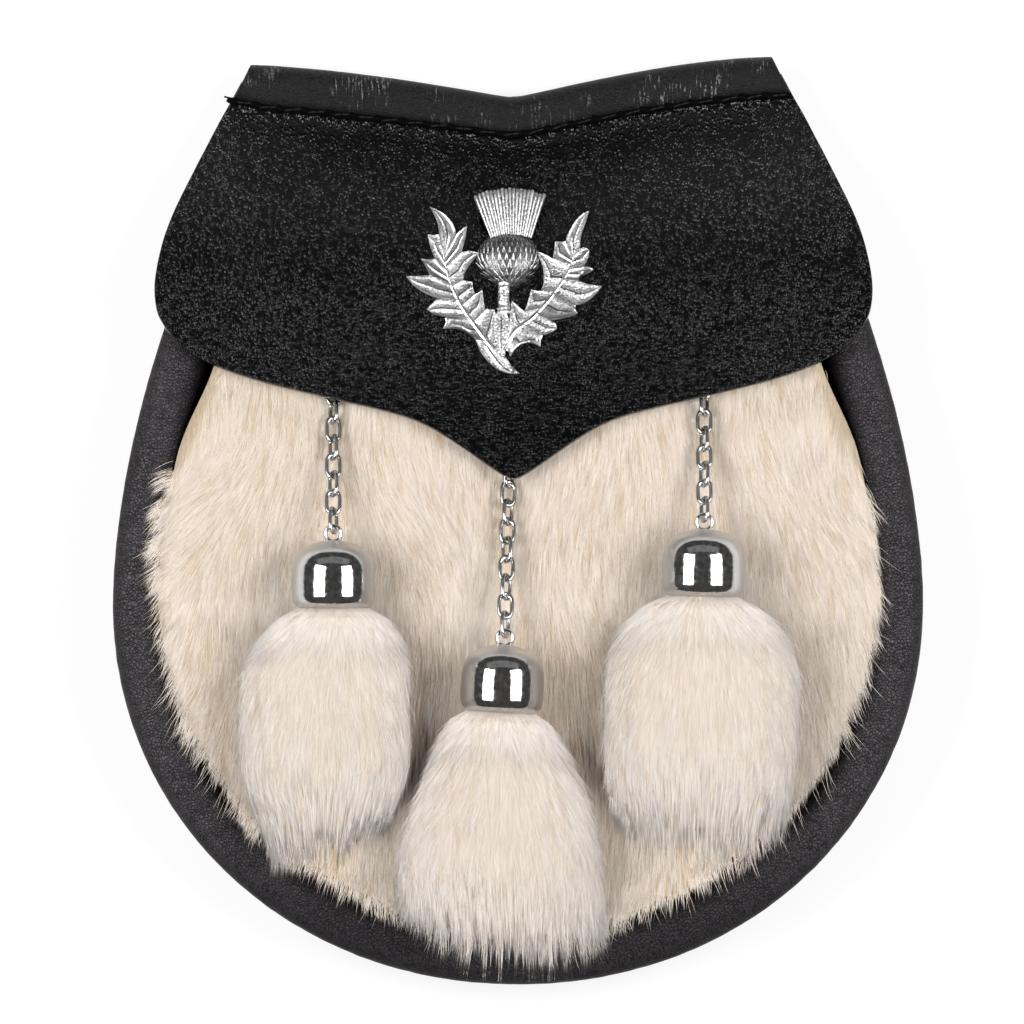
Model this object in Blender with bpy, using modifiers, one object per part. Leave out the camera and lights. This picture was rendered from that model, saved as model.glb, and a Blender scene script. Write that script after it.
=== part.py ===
"""A semi-dress sporran pouch, lying on its back.

The front faces +Z, +X is the right-hand side seen from the front, and +Y runs
towards the bound top edge. Sizes are in metres; MM turns millimetres into them.
The floor is z = 0.
"""

import math
import random

import bmesh
import bpy
from mathutils import Euler, Matrix, Vector

MM = 0.001
GAP = 0.3 * MM                  # clearance between neighbouring pieces

# The pouch's outline, seen from the front
HALF_WIDTH = 99.6 * MM          # at the belly
BELLY_Y = -20.0 * MM            # height of the widest place
BOTTOM_Y = -113.9 * MM
BOTTOM_ROUNDNESS = 2.05         # 2 is an ellipse, more is squarer
SIDE_TAPER = 12.4 * MM          # how far a side comes in ...
TAPER_RISE = 66.8 * MM          # ... over this height above the belly
TAPER_POWER = 1.75
MOUTH_Y = 75.0 * MM             # where the pouch opens, below the flap

# Heights of the front
FRONT_EDGE_Z = 25.0 * MM        # the front panel's edge, along the lower part
MOUTH_DROP = 7.0 * MM           # how much lower the edge is at the mouth
CROWN = 3.0 * MM                # how far the front's middle bulges above its edge

LEATHER = 2.0 * MM
GUSSET_WALL = 1.8 * MM
HIDE = 1.6 * MM
HIDE_GAP = 0.8 * MM             # the skin lies loose on the front

RIM_WIDTH = 14.0 * MM
RIM_HEIGHT = 9.2 * MM
RIM_SINK = 1.2 * MM             # the roll's axis below the front panel's edge

GUSSET_INSET = 6.0 * MM
GUSSET_FOLD = 4.0 * MM          # depth of the fold that runs round it

# The back: flat on the floor below, raised over the strap loops and at the top
BACK_INSET = 3.0 * MM
BACK_TOP_HALF_WIDTH = 62.0 * MM
BACK_RAISED_Z = 7.3 * MM        # its underside there

# The flap and the binding along its top
FLAP_MID_X = -1.1 * MM
FLAP_SLOPE = 0.21               # fall of the flap towards the top edge
FLAP_TIP_Z = 37.5 * MM
FLAP_TIP_Y = 10.3 * MM
FLAP_DROOP = 2.6 * MM           # how much its sides hang below its middle
FLAP_CREST_Y = 80.0 * MM        # above this it falls to the bound edge
FLAP_CORNER_Y = 47.0 * MM
CORNER_TOP_Y = {-1: 111.2 * MM, 1: 113.9 * MM}   # bound corners, left and right
DIP_Y = 103.6 * MM              # lowest place of the V in the top edge
DIP_POWER = 1.7
BAND_DEPTH = 9.8 * MM
BAND_WALL = 1.6 * MM
BAND_TUCK = 4.2 * MM            # from the fold's outside to the edges that it binds

# One row for each section across the flap's side edge: height and half width
FLAP_SIDE = [
    {"y": 118.0, "half_width": 61.0},
    {"y": 105.6, "half_width": 67.9},
    {"y": 86.0, "half_width": 78.1},
    {"y": 72.0, "half_width": 84.7},
    {"y": 60.0, "half_width": 87.7},
    {"y": 52.0, "half_width": 87.5},
    {"y": 47.0, "half_width": 85.2},
]

# One row for each key place along half of the flap's lower edge, tip to corner
FLAP_LOWER_EDGE = [
    {"x": 0.0, "y": 10.3},
    {"x": 3.2, "y": 11.6},
    {"x": 15.5, "y": 20.0},
    {"x": 23.0, "y": 24.2},
    {"x": 32.5, "y": 27.2},
    {"x": 60.0, "y": 33.7},
    {"x": 74.5, "y": 38.6},
    {"x": 81.0, "y": 42.4},
    {"x": 85.2, "y": 47.0},
]

# Chains, bells and tassels, one row for each
LINK_WIRE = 1.0 * MM
LINK_WIDTH = 4.2 * MM
LINK_PITCH = 4.75 * MM
BELL_RADIUS = 10.2 * MM
BELL_MOUTH_RADIUS = 9.7 * MM
BELL_HEIGHT = 16.6 * MM
BELL_WALL = 0.8 * MM
STAPLE_WIRE = 1.0 * MM
STAPLE_SPAN = 5.0 * MM
EYE_RADIUS = 1.9 * MM
EYE_WIRE = 1.0 * MM
EYE_REACH = EYE_RADIUS - 0.3 * EYE_WIRE    # from the dome's top to the eye's middle
STUD_PLACE = (-1.1 * MM, 33.0 * MM)
STUD_RADIUS = 5.5 * MM
FUR_BED = 2.2 * MM              # pressed fur below a tassel
PILE = 4.6 * MM                 # height of the free fur above its hide
TASSEL_HALF_HEIGHT = 11.5 * MM  # where a tassel is fullest
DROPS = [
    {"name": "left", "bell_x": -45.2, "bell_top_y": -4.7, "tilt": 0.0,
     "tassel_width": 40.0, "tassel_length": 66.0, "lean": -3.0, "lead": 3.1, "sway": 0.0, "seed": 4},
    {"name": "centre", "bell_x": -3.3, "bell_top_y": -30.2, "tilt": 3.0,
     "tassel_width": 46.0, "tassel_length": 64.5, "lean": 1.5, "lead": 7.0, "sway": 1.2, "seed": 11},
    {"name": "right", "bell_x": 45.6, "bell_top_y": -1.9, "tilt": 1.5,
     "tassel_width": 45.0, "tassel_length": 66.0, "lean": 0.5, "lead": 4.0, "sway": 0.0, "seed": 23},
]

# The thistle, measured from the middle of its bulb
BADGE_MIDDLE = (-2.4 * MM, 63.9 * MM)
BADGE_PLATE = 1.5 * MM

# Each row is one lobe of a leaf: its point, then the notch that follows it
LEFT_LEAF = [
    {"lobe": (-10.0, 8.1), "notch": (-13.0, 6.1)},
    {"lobe": (-19.4, 12.9), "notch": (-17.0, 5.8)},
    {"lobe": (-20.1, 6.0), "notch": (-17.6, 0.6)},
    {"lobe": (-21.5, 0.0), "notch": (-19.4, -3.6)},
    {"lobe": (-25.1, -4.3), "notch": (-17.2, -9.4)},
    {"lobe": (-20.0, -12.6), "notch": (-15.0, -14.0)},
    {"lobe": (-16.2, -17.3), "notch": (-8.1, -19.8)},
]
RIGHT_LEAF = [
    {"lobe": (11.6, 4.6), "notch": (13.7, 4.0)},
    {"lobe": (20.1, 11.6), "notch": (17.4, 2.8)},
    {"lobe": (20.0, 2.4), "notch": (18.9, -1.4)},
    {"lobe": (21.2, -2.5), "notch": (16.7, -4.9)},
    {"lobe": (22.9, -6.9), "notch": (15.6, -11.6)},
    {"lobe": (17.0, -13.2), "notch": (10.8, -14.8)},
    {"lobe": (11.9, -17.3), "notch": (8.0, -18.4)},
    {"lobe": (7.9, -21.4), "notch": (3.0, -21.0)},
]

for stale in list(bpy.data.objects):
    bpy.data.objects.remove(stale, do_unlink=True)

parts = bpy.data.collections.new("sporran_pouch")
tools = bpy.data.collections.new("fused_shapes")
bpy.context.scene.collection.children.link(parts)
bpy.context.scene.collection.children.link(tools)


# ---------------------------------------------------------------- materials

def material(name, colour, roughness, metallic=0.0):
    made = bpy.data.materials.new(name)
    made.use_nodes = True
    shader = made.node_tree.nodes["Principled BSDF"]
    shader.inputs["Base Color"].default_value = (*colour, 1.0)
    shader.inputs["Roughness"].default_value = roughness
    shader.inputs["Metallic"].default_value = metallic
    return made


pebbled = material("pebbled_leather", (0.012, 0.012, 0.012), 0.45)
smooth_leather = material("smooth_leather", (0.018, 0.018, 0.019), 0.55)
back_leather = material("back_leather", (0.022, 0.021, 0.020), 0.65)
rabbit_fur = material("rabbit_fur", (0.78, 0.70, 0.58), 0.9)
tassel_fur = material("tassel_fur", (0.86, 0.80, 0.74), 0.9)
polished = material("polished_chrome", (0.80, 0.80, 0.80), 0.08, 1.0)
cast_metal = material("cast_metal", (0.78, 0.78, 0.78), 0.25, 1.0)


# ------------------------------------------------------------- small helpers

def in_mm(row, *names):
    """The named columns of a table's row, in metres."""
    return [row[name] * MM for name in names]


def mix(a, b, share):
    return a + (b - a) * share


def ease(value, start, end):
    """0 before start, 1 after end, and a smooth step between them."""
    share = min(1.0, max(0.0, (value - start) / (end - start)))
    return share * share * (3.0 - 2.0 * share)


def resample(points, count):
    """Count points at even distances along a line of points."""
    lengths = [0.0]
    for before, after in zip(points, points[1:]):
        lengths.append(lengths[-1] + (after - before).length)
    spaced = []
    piece = 0
    for step in range(count):
        target = lengths[-1] * step / (count - 1)
        while piece < len(points) - 2 and lengths[piece + 1] < target:
            piece += 1
        span = lengths[piece + 1] - lengths[piece]
        spaced.append(points[piece].lerp(points[piece + 1], (target - lengths[piece]) / span))
    return spaced


def smooth_line(points, steps=8):
    """A Catmull-Rom curve through the points."""
    ends = [points[0] * 2 - points[1]] + list(points) + [points[-1] * 2 - points[-2]]
    curve = []
    for a, b, c, d in zip(ends, ends[1:], ends[2:], ends[3:]):
        for step in range(steps):
            t = step / steps
            curve.append(0.5 * (2 * b + (c - a) * t + (2 * a - 5 * b + 4 * c - d) * t * t
                                + (3 * b - a - 3 * c + d) * t ** 3))
    curve.append(points[-1])
    return curve


def moved_inwards(points, distance):
    """A line of points moved to its left-hand side by a distance."""
    moved = []
    for i, point in enumerate(points):
        along = points[min(i + 1, len(points) - 1)] - points[max(i - 1, 0)]
        moved.append(point + Vector((-along.y, along.x)).normalized() * distance)
    return moved


def add(name, mesh, look, collection=parts):
    made = bpy.data.objects.new(name, mesh)
    made.data.materials.append(look)
    collection.objects.link(made)
    return made


def mesh_from(name, points, faces):
    mesh = bpy.data.meshes.new(name)
    mesh.from_pydata(points, [], faces)
    shell = bmesh.new()
    shell.from_mesh(mesh)
    bmesh.ops.remove_doubles(shell, verts=shell.verts, dist=0.01 * MM)
    bmesh.ops.recalc_face_normals(shell, faces=shell.faces)
    shell.to_mesh(mesh)
    shell.free()
    return mesh


def loft(name, rows, closed=False, capped=False):
    """A surface through rows of as many points each; closed rows are rings."""
    wide = len(rows[0])
    points = [point for row in rows for point in row]
    faces = []
    for r in range(len(rows) - 1):
        for c in range(wide if closed else wide - 1):
            after = (c + 1) % wide
            faces.append((r * wide + c, r * wide + after,
                          (r + 1) * wide + after, (r + 1) * wide + c))
    if capped:
        faces.append(tuple(range(wide)))
        faces.append(tuple((len(rows) - 1) * wide + c for c in range(wide)))
    return mesh_from(name, points, faces)


def disc(name, edge, shares, height):
    """A surface inside a closed edge: rings at shares of its size, down to its middle."""
    middle = Vector((0.0, BELLY_Y))
    rings = len(shares)
    rows = []
    for share in shares:
        flat = [middle.lerp(point, share) for point in edge]
        rows.append([(p.x, p.y, height(p.x, p.y)) for p in flat])
    wide = len(edge)
    points = [point for row in rows for point in row]
    points.append((middle.x, middle.y, height(middle.x, middle.y)))
    faces = []
    for r in range(rings):
        for c in range(wide):
            after = (c + 1) % wide
            if r == rings - 1:
                faces.append((r * wide + c, r * wide + after, len(points) - 1))
            else:
                faces.append((r * wide + c, r * wide + after,
                              (r + 1) * wide + after, (r + 1) * wide + c))
    return mesh_from(name, points, faces)


def thicken(part, wall):
    wrap = part.modifiers.new("wall", "SOLIDIFY")
    wrap.thickness = wall
    wrap.offset = 0.0
    wrap.use_even_offset = True
    return part


def tube(name, path, wire, look, collection=parts, around=5):
    """A round wire along an open path, as a closed mesh."""
    rings = []
    for i, point in enumerate(path):
        along = (path[min(i + 1, len(path) - 1)] - path[max(i - 1, 0)]).normalized()
        side = along.orthogonal().normalized() if i == 0 else side
        side = (side - along * side.dot(along)).normalized()
        up = along.cross(side)
        rings.append([point + (side * math.cos(turn) + up * math.sin(turn)) * wire / 2
                      for turn in (2 * math.pi * k / around for k in range(around))])
    return add(name, loft(name, rings, closed=True, capped=True), look, collection)


def fuse(base, others):
    """Join other shapes to a base with an exact union, and drop them."""
    bunch = bpy.data.collections.new(base.name + "_fused")
    tools.children.link(bunch)
    for other in others:
        for holder in list(other.users_collection):
            holder.objects.unlink(other)
        bunch.objects.link(other)
    union = base.modifiers.new("fused", "BOOLEAN")
    union.operation = "UNION"
    union.solver = "EXACT"
    union.operand_type = "COLLECTION"
    union.collection = bunch
    bpy.context.view_layer.update()
    graph = bpy.context.evaluated_depsgraph_get()
    joined = bpy.data.meshes.new_from_object(base.evaluated_get(graph))
    base.modifiers.clear()
    base.data = joined
    for other in others:
        bpy.data.objects.remove(other, do_unlink=True)
    bpy.data.collections.remove(bunch)
    fill_hollows(joined)
    return base


def fill_hollows(mesh):
    """Keep a fused mesh's largest shell, so that pockets closed off inside it are solid."""
    shell = bmesh.new()
    shell.from_mesh(mesh)
    islands = []
    unseen = set(shell.verts)
    while unseen:
        island = {unseen.pop()}
        fresh = list(island)
        while fresh:
            for edge in fresh.pop().link_edges:
                for vert in edge.verts:
                    if vert in unseen:
                        unseen.remove(vert)
                        island.add(vert)
                        fresh.append(vert)
        islands.append(island)
    islands.sort(key=len)
    for island in islands[:-1]:
        bmesh.ops.delete(shell, geom=list(island), context="VERTS")
    shell.to_mesh(mesh)
    shell.free()


# --------------------------------------------------------- the pouch's shape

def half_width(y):
    """Half the pouch's width at a height, out to the rim's outer side."""
    if y >= BELLY_Y:
        return HALF_WIDTH - SIDE_TAPER * ((y - BELLY_Y) / TAPER_RISE) ** TAPER_POWER
    depth = min(1.0, (BELLY_Y - y) / (BELLY_Y - BOTTOM_Y))
    return HALF_WIDTH * (1.0 - depth ** BOTTOM_ROUNDNESS) ** (1.0 / BOTTOM_ROUNDNESS)


def round_bottom(top, inset, count):
    """The edge from its left end at a height, round the bottom, to its right end."""
    steps = 40
    left = []
    for step in range(steps):
        y = mix(top, BELLY_Y, step / steps)
        left.append(Vector((-half_width(y), y)))
    for step in range(steps + 1):
        turn = 0.5 * math.pi * step / steps
        out = math.cos(turn) ** (2.0 / BOTTOM_ROUNDNESS) if step < steps else 0.0
        down = math.sin(turn) ** (2.0 / BOTTOM_ROUNDNESS)
        left.append(Vector((-HALF_WIDTH * out, mix(BELLY_Y, BOTTOM_Y, down))))
    right = [Vector((-point.x, point.y)) for point in reversed(left[:-1])]
    return moved_inwards(resample(left + right, count), inset)


def closed_edge(top, inset, count):
    """The round edge with a straight run across its top."""
    side_lean = 0.31
    edge = round_bottom(top + side_lean * inset, inset, count)
    across = max(4, count // 4)
    left, right = edge[0], edge[-1]
    left.y = right.y = top
    return edge + [right.lerp(left, step / across) for step in range(1, across)]


def edge_share(x, y):
    """0 in the middle of the front and 1 at its outline."""
    near, far = 0.0, 3.0
    above_mouth = 12 * MM
    for _ in range(24):
        share = 0.5 * (near + far)
        px = x * share
        py = mix(BELLY_Y, y, share)
        inside = BOTTOM_Y < py < MOUTH_Y + above_mouth and abs(px) < half_width(py)
        near, far = (share, far) if inside else (near, share)
    return min(1.0, 1.0 / max(near, 0.001))


def front_edge_z(y):
    return FRONT_EDGE_Z - MOUTH_DROP * max(0.0, y / MOUTH_Y) ** 1.5


def front_top(x, y):
    return front_edge_z(y) + CROWN * (1.0 - edge_share(x, y) ** 2)


def hide_top(x, y):
    return front_top(x, y) + HIDE_GAP + HIDE


def rim_axis_z(y):
    return front_edge_z(y) - RIM_SINK


def back_under(x, y):
    """The back's underside."""
    side = ease(y, 45 * MM, 85 * MM)
    middle = ease(y, -44 * MM, -12 * MM)
    return BACK_RAISED_Z * mix(middle, side, ease(abs(x), 48 * MM, 68 * MM))


# ---------------------------------------------------------- the flap's shape

flap_side_line = smooth_line([Vector(in_mm(row, "half_width", "y")) for row in FLAP_SIDE])
flap_lower_line = smooth_line([Vector(in_mm(row, "x", "y")) for row in FLAP_LOWER_EDGE])


def flap_half_width(y):
    for above, below in zip(flap_side_line, flap_side_line[1:]):
        if above.y >= y >= below.y:
            return mix(above.x, below.x, (above.y - y) / (above.y - below.y))
    return flap_side_line[0 if y > 0.1 else -1].x


def top_edge_y(u):
    """Height of the bound top edge; u is -1 at its left end and 1 at its right."""
    corner = CORNER_TOP_Y[-1 if u < 0 else 1]
    return corner - (corner - DIP_Y) * (1.0 - abs(u)) ** DIP_POWER


def band_lower_y(x):
    u = max(-1.0, min(1.0, (x - FLAP_MID_X) / flap_half_width(100 * MM)))
    return top_edge_y(u) - BAND_DEPTH


def flap_lower_y(x):
    """Height of the flap's lower edge at a place across it."""
    out = abs(x - FLAP_MID_X)
    for before, after in zip(flap_lower_line, flap_lower_line[1:]):
        if before.x <= out <= after.x:
            return mix(before.y, after.y, (out - before.x) / (after.x - before.x))
    return FLAP_CORNER_Y


def flap_bound_z():
    return BACK_RAISED_Z + LEATHER + GAP + LEATHER / 2


def flap_middle_z(x, y):
    """The middle of the flap's thickness."""
    droop = FLAP_DROOP * ease(abs(x - FLAP_MID_X), 40 * MM, 92 * MM)
    plane = FLAP_TIP_Z - FLAP_SLOPE * (y - FLAP_TIP_Y) - droop
    start = band_lower_y(x) - 4 * MM
    return mix(flap_bound_z(), plane, ease(-y, -start, -FLAP_CREST_Y))


def flap_under(x, y):
    return flap_middle_z(x, y) - LEATHER / 2


# ------------------------------------------------------------ leather pieces

def back_edge(count):
    """The back's outline: round below, and straight sides up to the bound top."""
    shoulder = 60 * MM
    edge = round_bottom(shoulder, BACK_INSET, count)
    across = 8
    top = []
    for step in range(across + 1):
        u = 1.0 - 2.0 * step / across
        top.append(Vector((FLAP_MID_X + u * BACK_TOP_HALF_WIDTH, top_edge_y(u) - BAND_TUCK)))
    right = [edge[-1].lerp(top[0], share) for share in (0.33, 0.66)]
    left = [top[-1].lerp(edge[0], share) for share in (0.33, 0.66)]
    return edge + right + top + left


def back_panel():
    """One sheet: flat where it rests, raised over the strap loops and at the sides."""
    mesh = disc("back_panel", back_edge(25), (1.0, 0.86, 0.66, 0.5, 0.25),
                lambda x, y: back_under(x, y) + LEATHER / 2)
    thicken(add("back_panel", mesh, back_leather), LEATHER)


def gusset():
    """The wall between the back and the rim, folded inwards once."""
    path_count = 33
    rows = []
    for share in (0.0, 0.25, 0.5, 0.75, 1.0):
        fold = GUSSET_FOLD * math.sin(math.pi * share) ** 2
        row = []
        outer = round_bottom(MOUTH_Y, GUSSET_INSET, path_count)
        inner = round_bottom(MOUTH_Y, GUSSET_INSET + fold, path_count)
        for at, folded in zip(outer, inner):
            low = back_under(at.x, at.y) + LEATHER + 2 * GAP
            low += 0.8 * MM * ease(at.y, 25 * MM, 45 * MM)
            high = rim_axis_z(at.y) - RIM_HEIGHT / 2 - 2 * GAP
            row.append((folded.x, folded.y, mix(low, high, share)))
        rows.append(row)
    thicken(add("gusset", loft("gusset", rows), back_leather), GUSSET_WALL)


def rim_roll():
    """The padded roll round the front, a little flatter towards its two ends."""
    path = round_bottom(MOUTH_Y, RIM_WIDTH / 2, 37)
    around = 8
    flat_end, end_rings = 0.72, 4
    rings = []
    for i, point in enumerate(path):
        along = (path[min(i + 1, len(path) - 1)] - path[max(i - 1, 0)]).normalized()
        inwards = Vector((-along.y, along.x, 0.0))
        from_end = min(i, len(path) - 1 - i)
        full = mix(flat_end, 1.0, ease(from_end, 0, end_rings))
        ring = []
        for k in range(around):
            turn = 2 * math.pi * k / around
            ring.append(Vector((point.x, point.y, rim_axis_z(point.y)))
                        + inwards * math.cos(turn) * RIM_WIDTH / 2
                        + Vector((0, 0, math.sin(turn) * RIM_HEIGHT / 2 * full)))
        rings.append(ring)
    add("rim_roll", loft("rim_roll", rings, closed=True, capped=True), smooth_leather)


def front_panel():
    """The stiff leather front, below the fur."""
    mesh = disc("front_panel", closed_edge(MOUTH_Y, RIM_WIDTH + 3 * GAP, 32), (1.0, 0.67, 0.33),
                lambda x, y: front_top(x, y) - LEATHER / 2)
    thicken(add("front_panel", mesh, back_leather), LEATHER)


def flap():
    """A sheet stretched between the bound edge, the sides and the lower edge."""
    across, down = 14, 9
    lower = {1: resample(flap_lower_line, across // 2 + 1)}
    lower[-1] = [Vector((-point.x, point.y)) for point in lower[1]]

    def top_point(u):
        y = top_edge_y(u) - BAND_TUCK
        return Vector((u * flap_half_width(y), y))

    def side_point(side, v):
        y = mix(top_edge_y(side) - BAND_TUCK, FLAP_CORNER_Y, v)
        return Vector((side * flap_half_width(y), y))

    rows = []
    for r in range(down + 1):
        v = r / down
        row = []
        for c in range(across + 1):
            u = 2.0 * c / across - 1.0
            top = top_point(u)
            low = lower[-1 if u < 0 else 1][abs(c - across // 2)]
            right, left = (1 + u) / 2, (1 - u) / 2
            flat = top.lerp(low, v)
            for side, weight in ((-1, left), (1, right)):
                straight = top_point(side).lerp(lower[side][-1], v)
                flat += (side_point(side, v) - straight) * weight
            x = flat.x + FLAP_MID_X
            row.append((x, flat.y, flap_middle_z(x, flat.y)))
        rows.append(row)
    thicken(add("flap", loft("flap", rows), pebbled), LEATHER)


def top_band():
    """A leather strip folded over the top edges of the back and the flap."""
    low_z = BACK_RAISED_Z - GAP - BAND_WALL / 2
    high_z = flap_bound_z() + LEATHER / 2 + GAP + BAND_WALL / 2
    bend = (high_z - low_z) / 2
    bend_depth = bend + BAND_WALL / 2
    section = [(BAND_DEPTH, high_z)]
    bends = 4
    for step in range(bends + 1):
        turn = math.pi * step / bends
        section.append((bend_depth - bend * math.sin(turn), low_z + bend * (1 + math.cos(turn))))
    section.append((BAND_DEPTH - 1.5 * MM, low_z))
    across = 16
    rows = []
    for depth, z in section:
        row = []
        for step in range(across + 1):
            u = 2.0 * step / across - 1.0
            y = top_edge_y(u) - depth
            row.append((FLAP_MID_X + u * (flap_half_width(y) - 0.2 * MM), y, z))
        rows.append(row)
    thicken(add("top_band", loft("top_band", rows), smooth_leather), BAND_WALL)


def belt_loop(name, x):
    """A strap loop: tabs under the back, and a strip that stands off it."""
    width, room, tab, leg = 20 * MM, 34 * MM, 8 * MM, 2 * MM
    bottom_y = 20 * MM
    tab_z = BACK_RAISED_Z - GAP - LEATHER / 2
    strip_z = LEATHER / 2
    path = [(-leg - tab, tab_z), (-leg, tab_z), (0.0, strip_z), (room, strip_z),
            (room + leg, tab_z), (room + leg + tab, tab_z)]
    rows = [[(x + side * width / 2, bottom_y + along, z) for side in (-1, 1)]
            for along, z in path]
    thicken(add(name, loft(name, rows), back_leather), LEATHER)


# --------------------------------------------------------------------- fur

def drop_frame(drop):
    """Where a bell's dome top is, and the way it points down the tassel."""
    x, y = in_mm(drop, "bell_x", "bell_top_y")
    rest_y = y - BELL_HEIGHT
    axis_z = hide_top(x, rest_y) + FUR_BED + GAP + BELL_RADIUS
    tilt = math.radians(drop["tilt"])
    return Vector((x, y, axis_z)), Vector((math.sin(-tilt), -math.cos(tilt), 0.0))


def tassel_outline(drop, share):
    """Half the tassel's width at a share of its length."""
    swell = ease(share, -0.25, 0.55)
    taper = 1.0 - 0.45 * ease(share, 0.68, 1.15)
    return mix(BELL_RADIUS - 1.6 * MM, drop["tassel_width"] * MM / 2, swell) * taper


def below_tassel(x, y):
    """Whether a bell or a tassel lies over this place."""
    margin = 3 * MM
    for drop in DROPS:
        start, along = drop_frame(drop)
        away = Vector((x, y, 0)) - Vector((start.x, start.y, 0))
        distance = away.dot(along)
        across = abs(away.cross(along).z)
        length = BELL_HEIGHT + drop["tassel_length"] * MM
        if -margin < distance < length + margin:
            share = (distance - BELL_HEIGHT) / (drop["tassel_length"] * MM)
            width = tassel_outline(drop, share) if share > 0 else BELL_RADIUS
            if across < width + margin + abs(drop["lean"]) * MM:
                return True
    return False


def chain_line(drop):
    """Where a chain starts and ends: in its staple below the flap, and in its bell's eye."""
    bell_top, down = drop_frame(drop)
    start_x = bell_top.x + drop["sway"] * MM
    start_y = flap_lower_y(start_x) + drop["lead"] * MM
    start = Vector((start_x, start_y, hide_top(start_x, start_y) + 0.9 * MM))
    return start, bell_top - down * EYE_REACH + Vector((0, 0.4 * MM, 0))


def room_below_chains(x, y):
    """Height above the hide that stays free of the chains and the stud."""
    room = PILE
    for drop in DROPS:
        start, end = chain_line(drop)
        share = (start.y - y) / (start.y - end.y)
        if abs(x - start.x) < 14 * MM and -0.3 < share < 1.0:
            room = min(room, mix(start.z, end.z, share) - 0.7 * LINK_WIDTH - hide_top(x, y))
    if Vector((x - STUD_PLACE[0], y - STUD_PLACE[1])).length < 18 * MM:
        room = 0.0
    return room


def pile_height(x, y):
    """Room for fur above the hide."""
    room = room_below_chains(x, y)
    if y > flap_lower_y(x) - 3 * MM:
        room = min(room, flap_under(x, y) - hide_top(x, y) - 2 * GAP)
    if below_tassel(x, y):
        room = min(room, FUR_BED)
    return max(0.6 * MM, room)


def lock(name, path, width, height, look):
    """A tapering lock of hair: its flat underside follows a path, with a ridge above."""
    rings = []
    last = len(path) - 1
    for i, point in enumerate(path):
        full = 1.0 if i < last else 0.15
        along = path[min(i + 1, last)] - path[max(i - 1, 0)]
        side = Vector((-along.y, along.x, 0.0)).normalized() * width / 2 * full
        ridge_height = height * (0.7 if i == 0 else max(full, 0.3))
        rings.append([point - side, point + side, point + Vector((0, 0, ridge_height))])
    return add(name, loft(name, rings, closed=True, capped=True), look, tools)


def fur_panel():
    """The rabbit skin: a thin hide, rows of lying locks, and locks over the rim."""
    random.seed(7)
    top = 64 * MM
    hide_inset = RIM_WIDTH + 2 * GAP
    mesh = disc("fur_panel", closed_edge(top, hide_inset, 26), (1.0, 0.67, 0.33),
                lambda x, y: hide_top(x, y) - HIDE / 2)
    skin = thicken(add("fur_panel", mesh, rabbit_fur), HIDE)
    locks = []
    row_step, length, width = 19 * MM, 29 * MM, 20 * MM
    y = 46 * MM
    while y > BOTTOM_Y + 34 * MM:
        reach = half_width(y - length / 2) - hide_inset - width * 0.8
        count = max(2, round(2 * reach / (width * 0.98)))
        for step in range(count + 1):
            x = mix(-reach, reach, step / count) + random.uniform(-1.5, 1.5) * MM
            root_y = y + random.uniform(-3, 3) * MM
            sway = random.uniform(-3, 3) * MM
            tip = Vector((x + sway, root_y - length * random.uniform(0.85, 1.05)))
            middle = Vector((x + sway * 0.4, mix(root_y, tip.y, 0.55)))
            root = Vector((x, root_y))
            under = [root, root.lerp(middle, 0.5), middle, middle.lerp(tip, 0.5), tip]
            rise = min(pile_height(at.x, at.y) for at in under)
            if rise < PILE / 2:
                continue
            path = [Vector((x, root_y, hide_top(x, root_y) - HIDE / 2)),
                    Vector((middle.x, middle.y, hide_top(middle.x, middle.y) - HIDE / 4)),
                    Vector((tip.x, tip.y, hide_top(tip.x, tip.y) + rise * 0.3))]
            locks.append(lock("lock_%03d" % len(locks), path, width * random.uniform(0.95, 1.1),
                              rise, rabbit_fur))
        y -= row_step
    fringe = round_bottom(28 * MM, 0.0, 26)
    for i in range(1, len(fringe) - 1):
        along = (fringe[i + 1] - fringe[i - 1]).normalized()
        inwards = Vector((-along.y, along.x))
        lean = Vector((0, -1)) * random.uniform(5, 10) * MM
        lean -= inwards * inwards.dot(lean)            # along the rim, not across it
        root = fringe[i] + inwards * (hide_inset + 4 * MM)
        over = fringe[i] + inwards * (RIM_WIDTH - 1 * MM) + lean * 0.5
        tip = fringe[i] + inwards * random.uniform(5.0, 8.5) * MM + lean
        rim_top = rim_axis_z(over.y) + RIM_HEIGHT / 2
        pressed = below_tassel(over.x, over.y) or below_tassel(tip.x, tip.y)
        thick = 1.6 * MM if pressed else 2.6 * MM
        path = [Vector((root.x, root.y, hide_top(root.x, root.y) - HIDE / 2)),
                Vector((over.x, over.y, rim_top + 1.5 * GAP)),
                Vector((tip.x, tip.y, rim_top + 2.5 * GAP))]
        locks.append(lock("fringe_%03d" % i, path, 18 * MM, thick, rabbit_fur))
    fuse(skin, locks)


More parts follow.
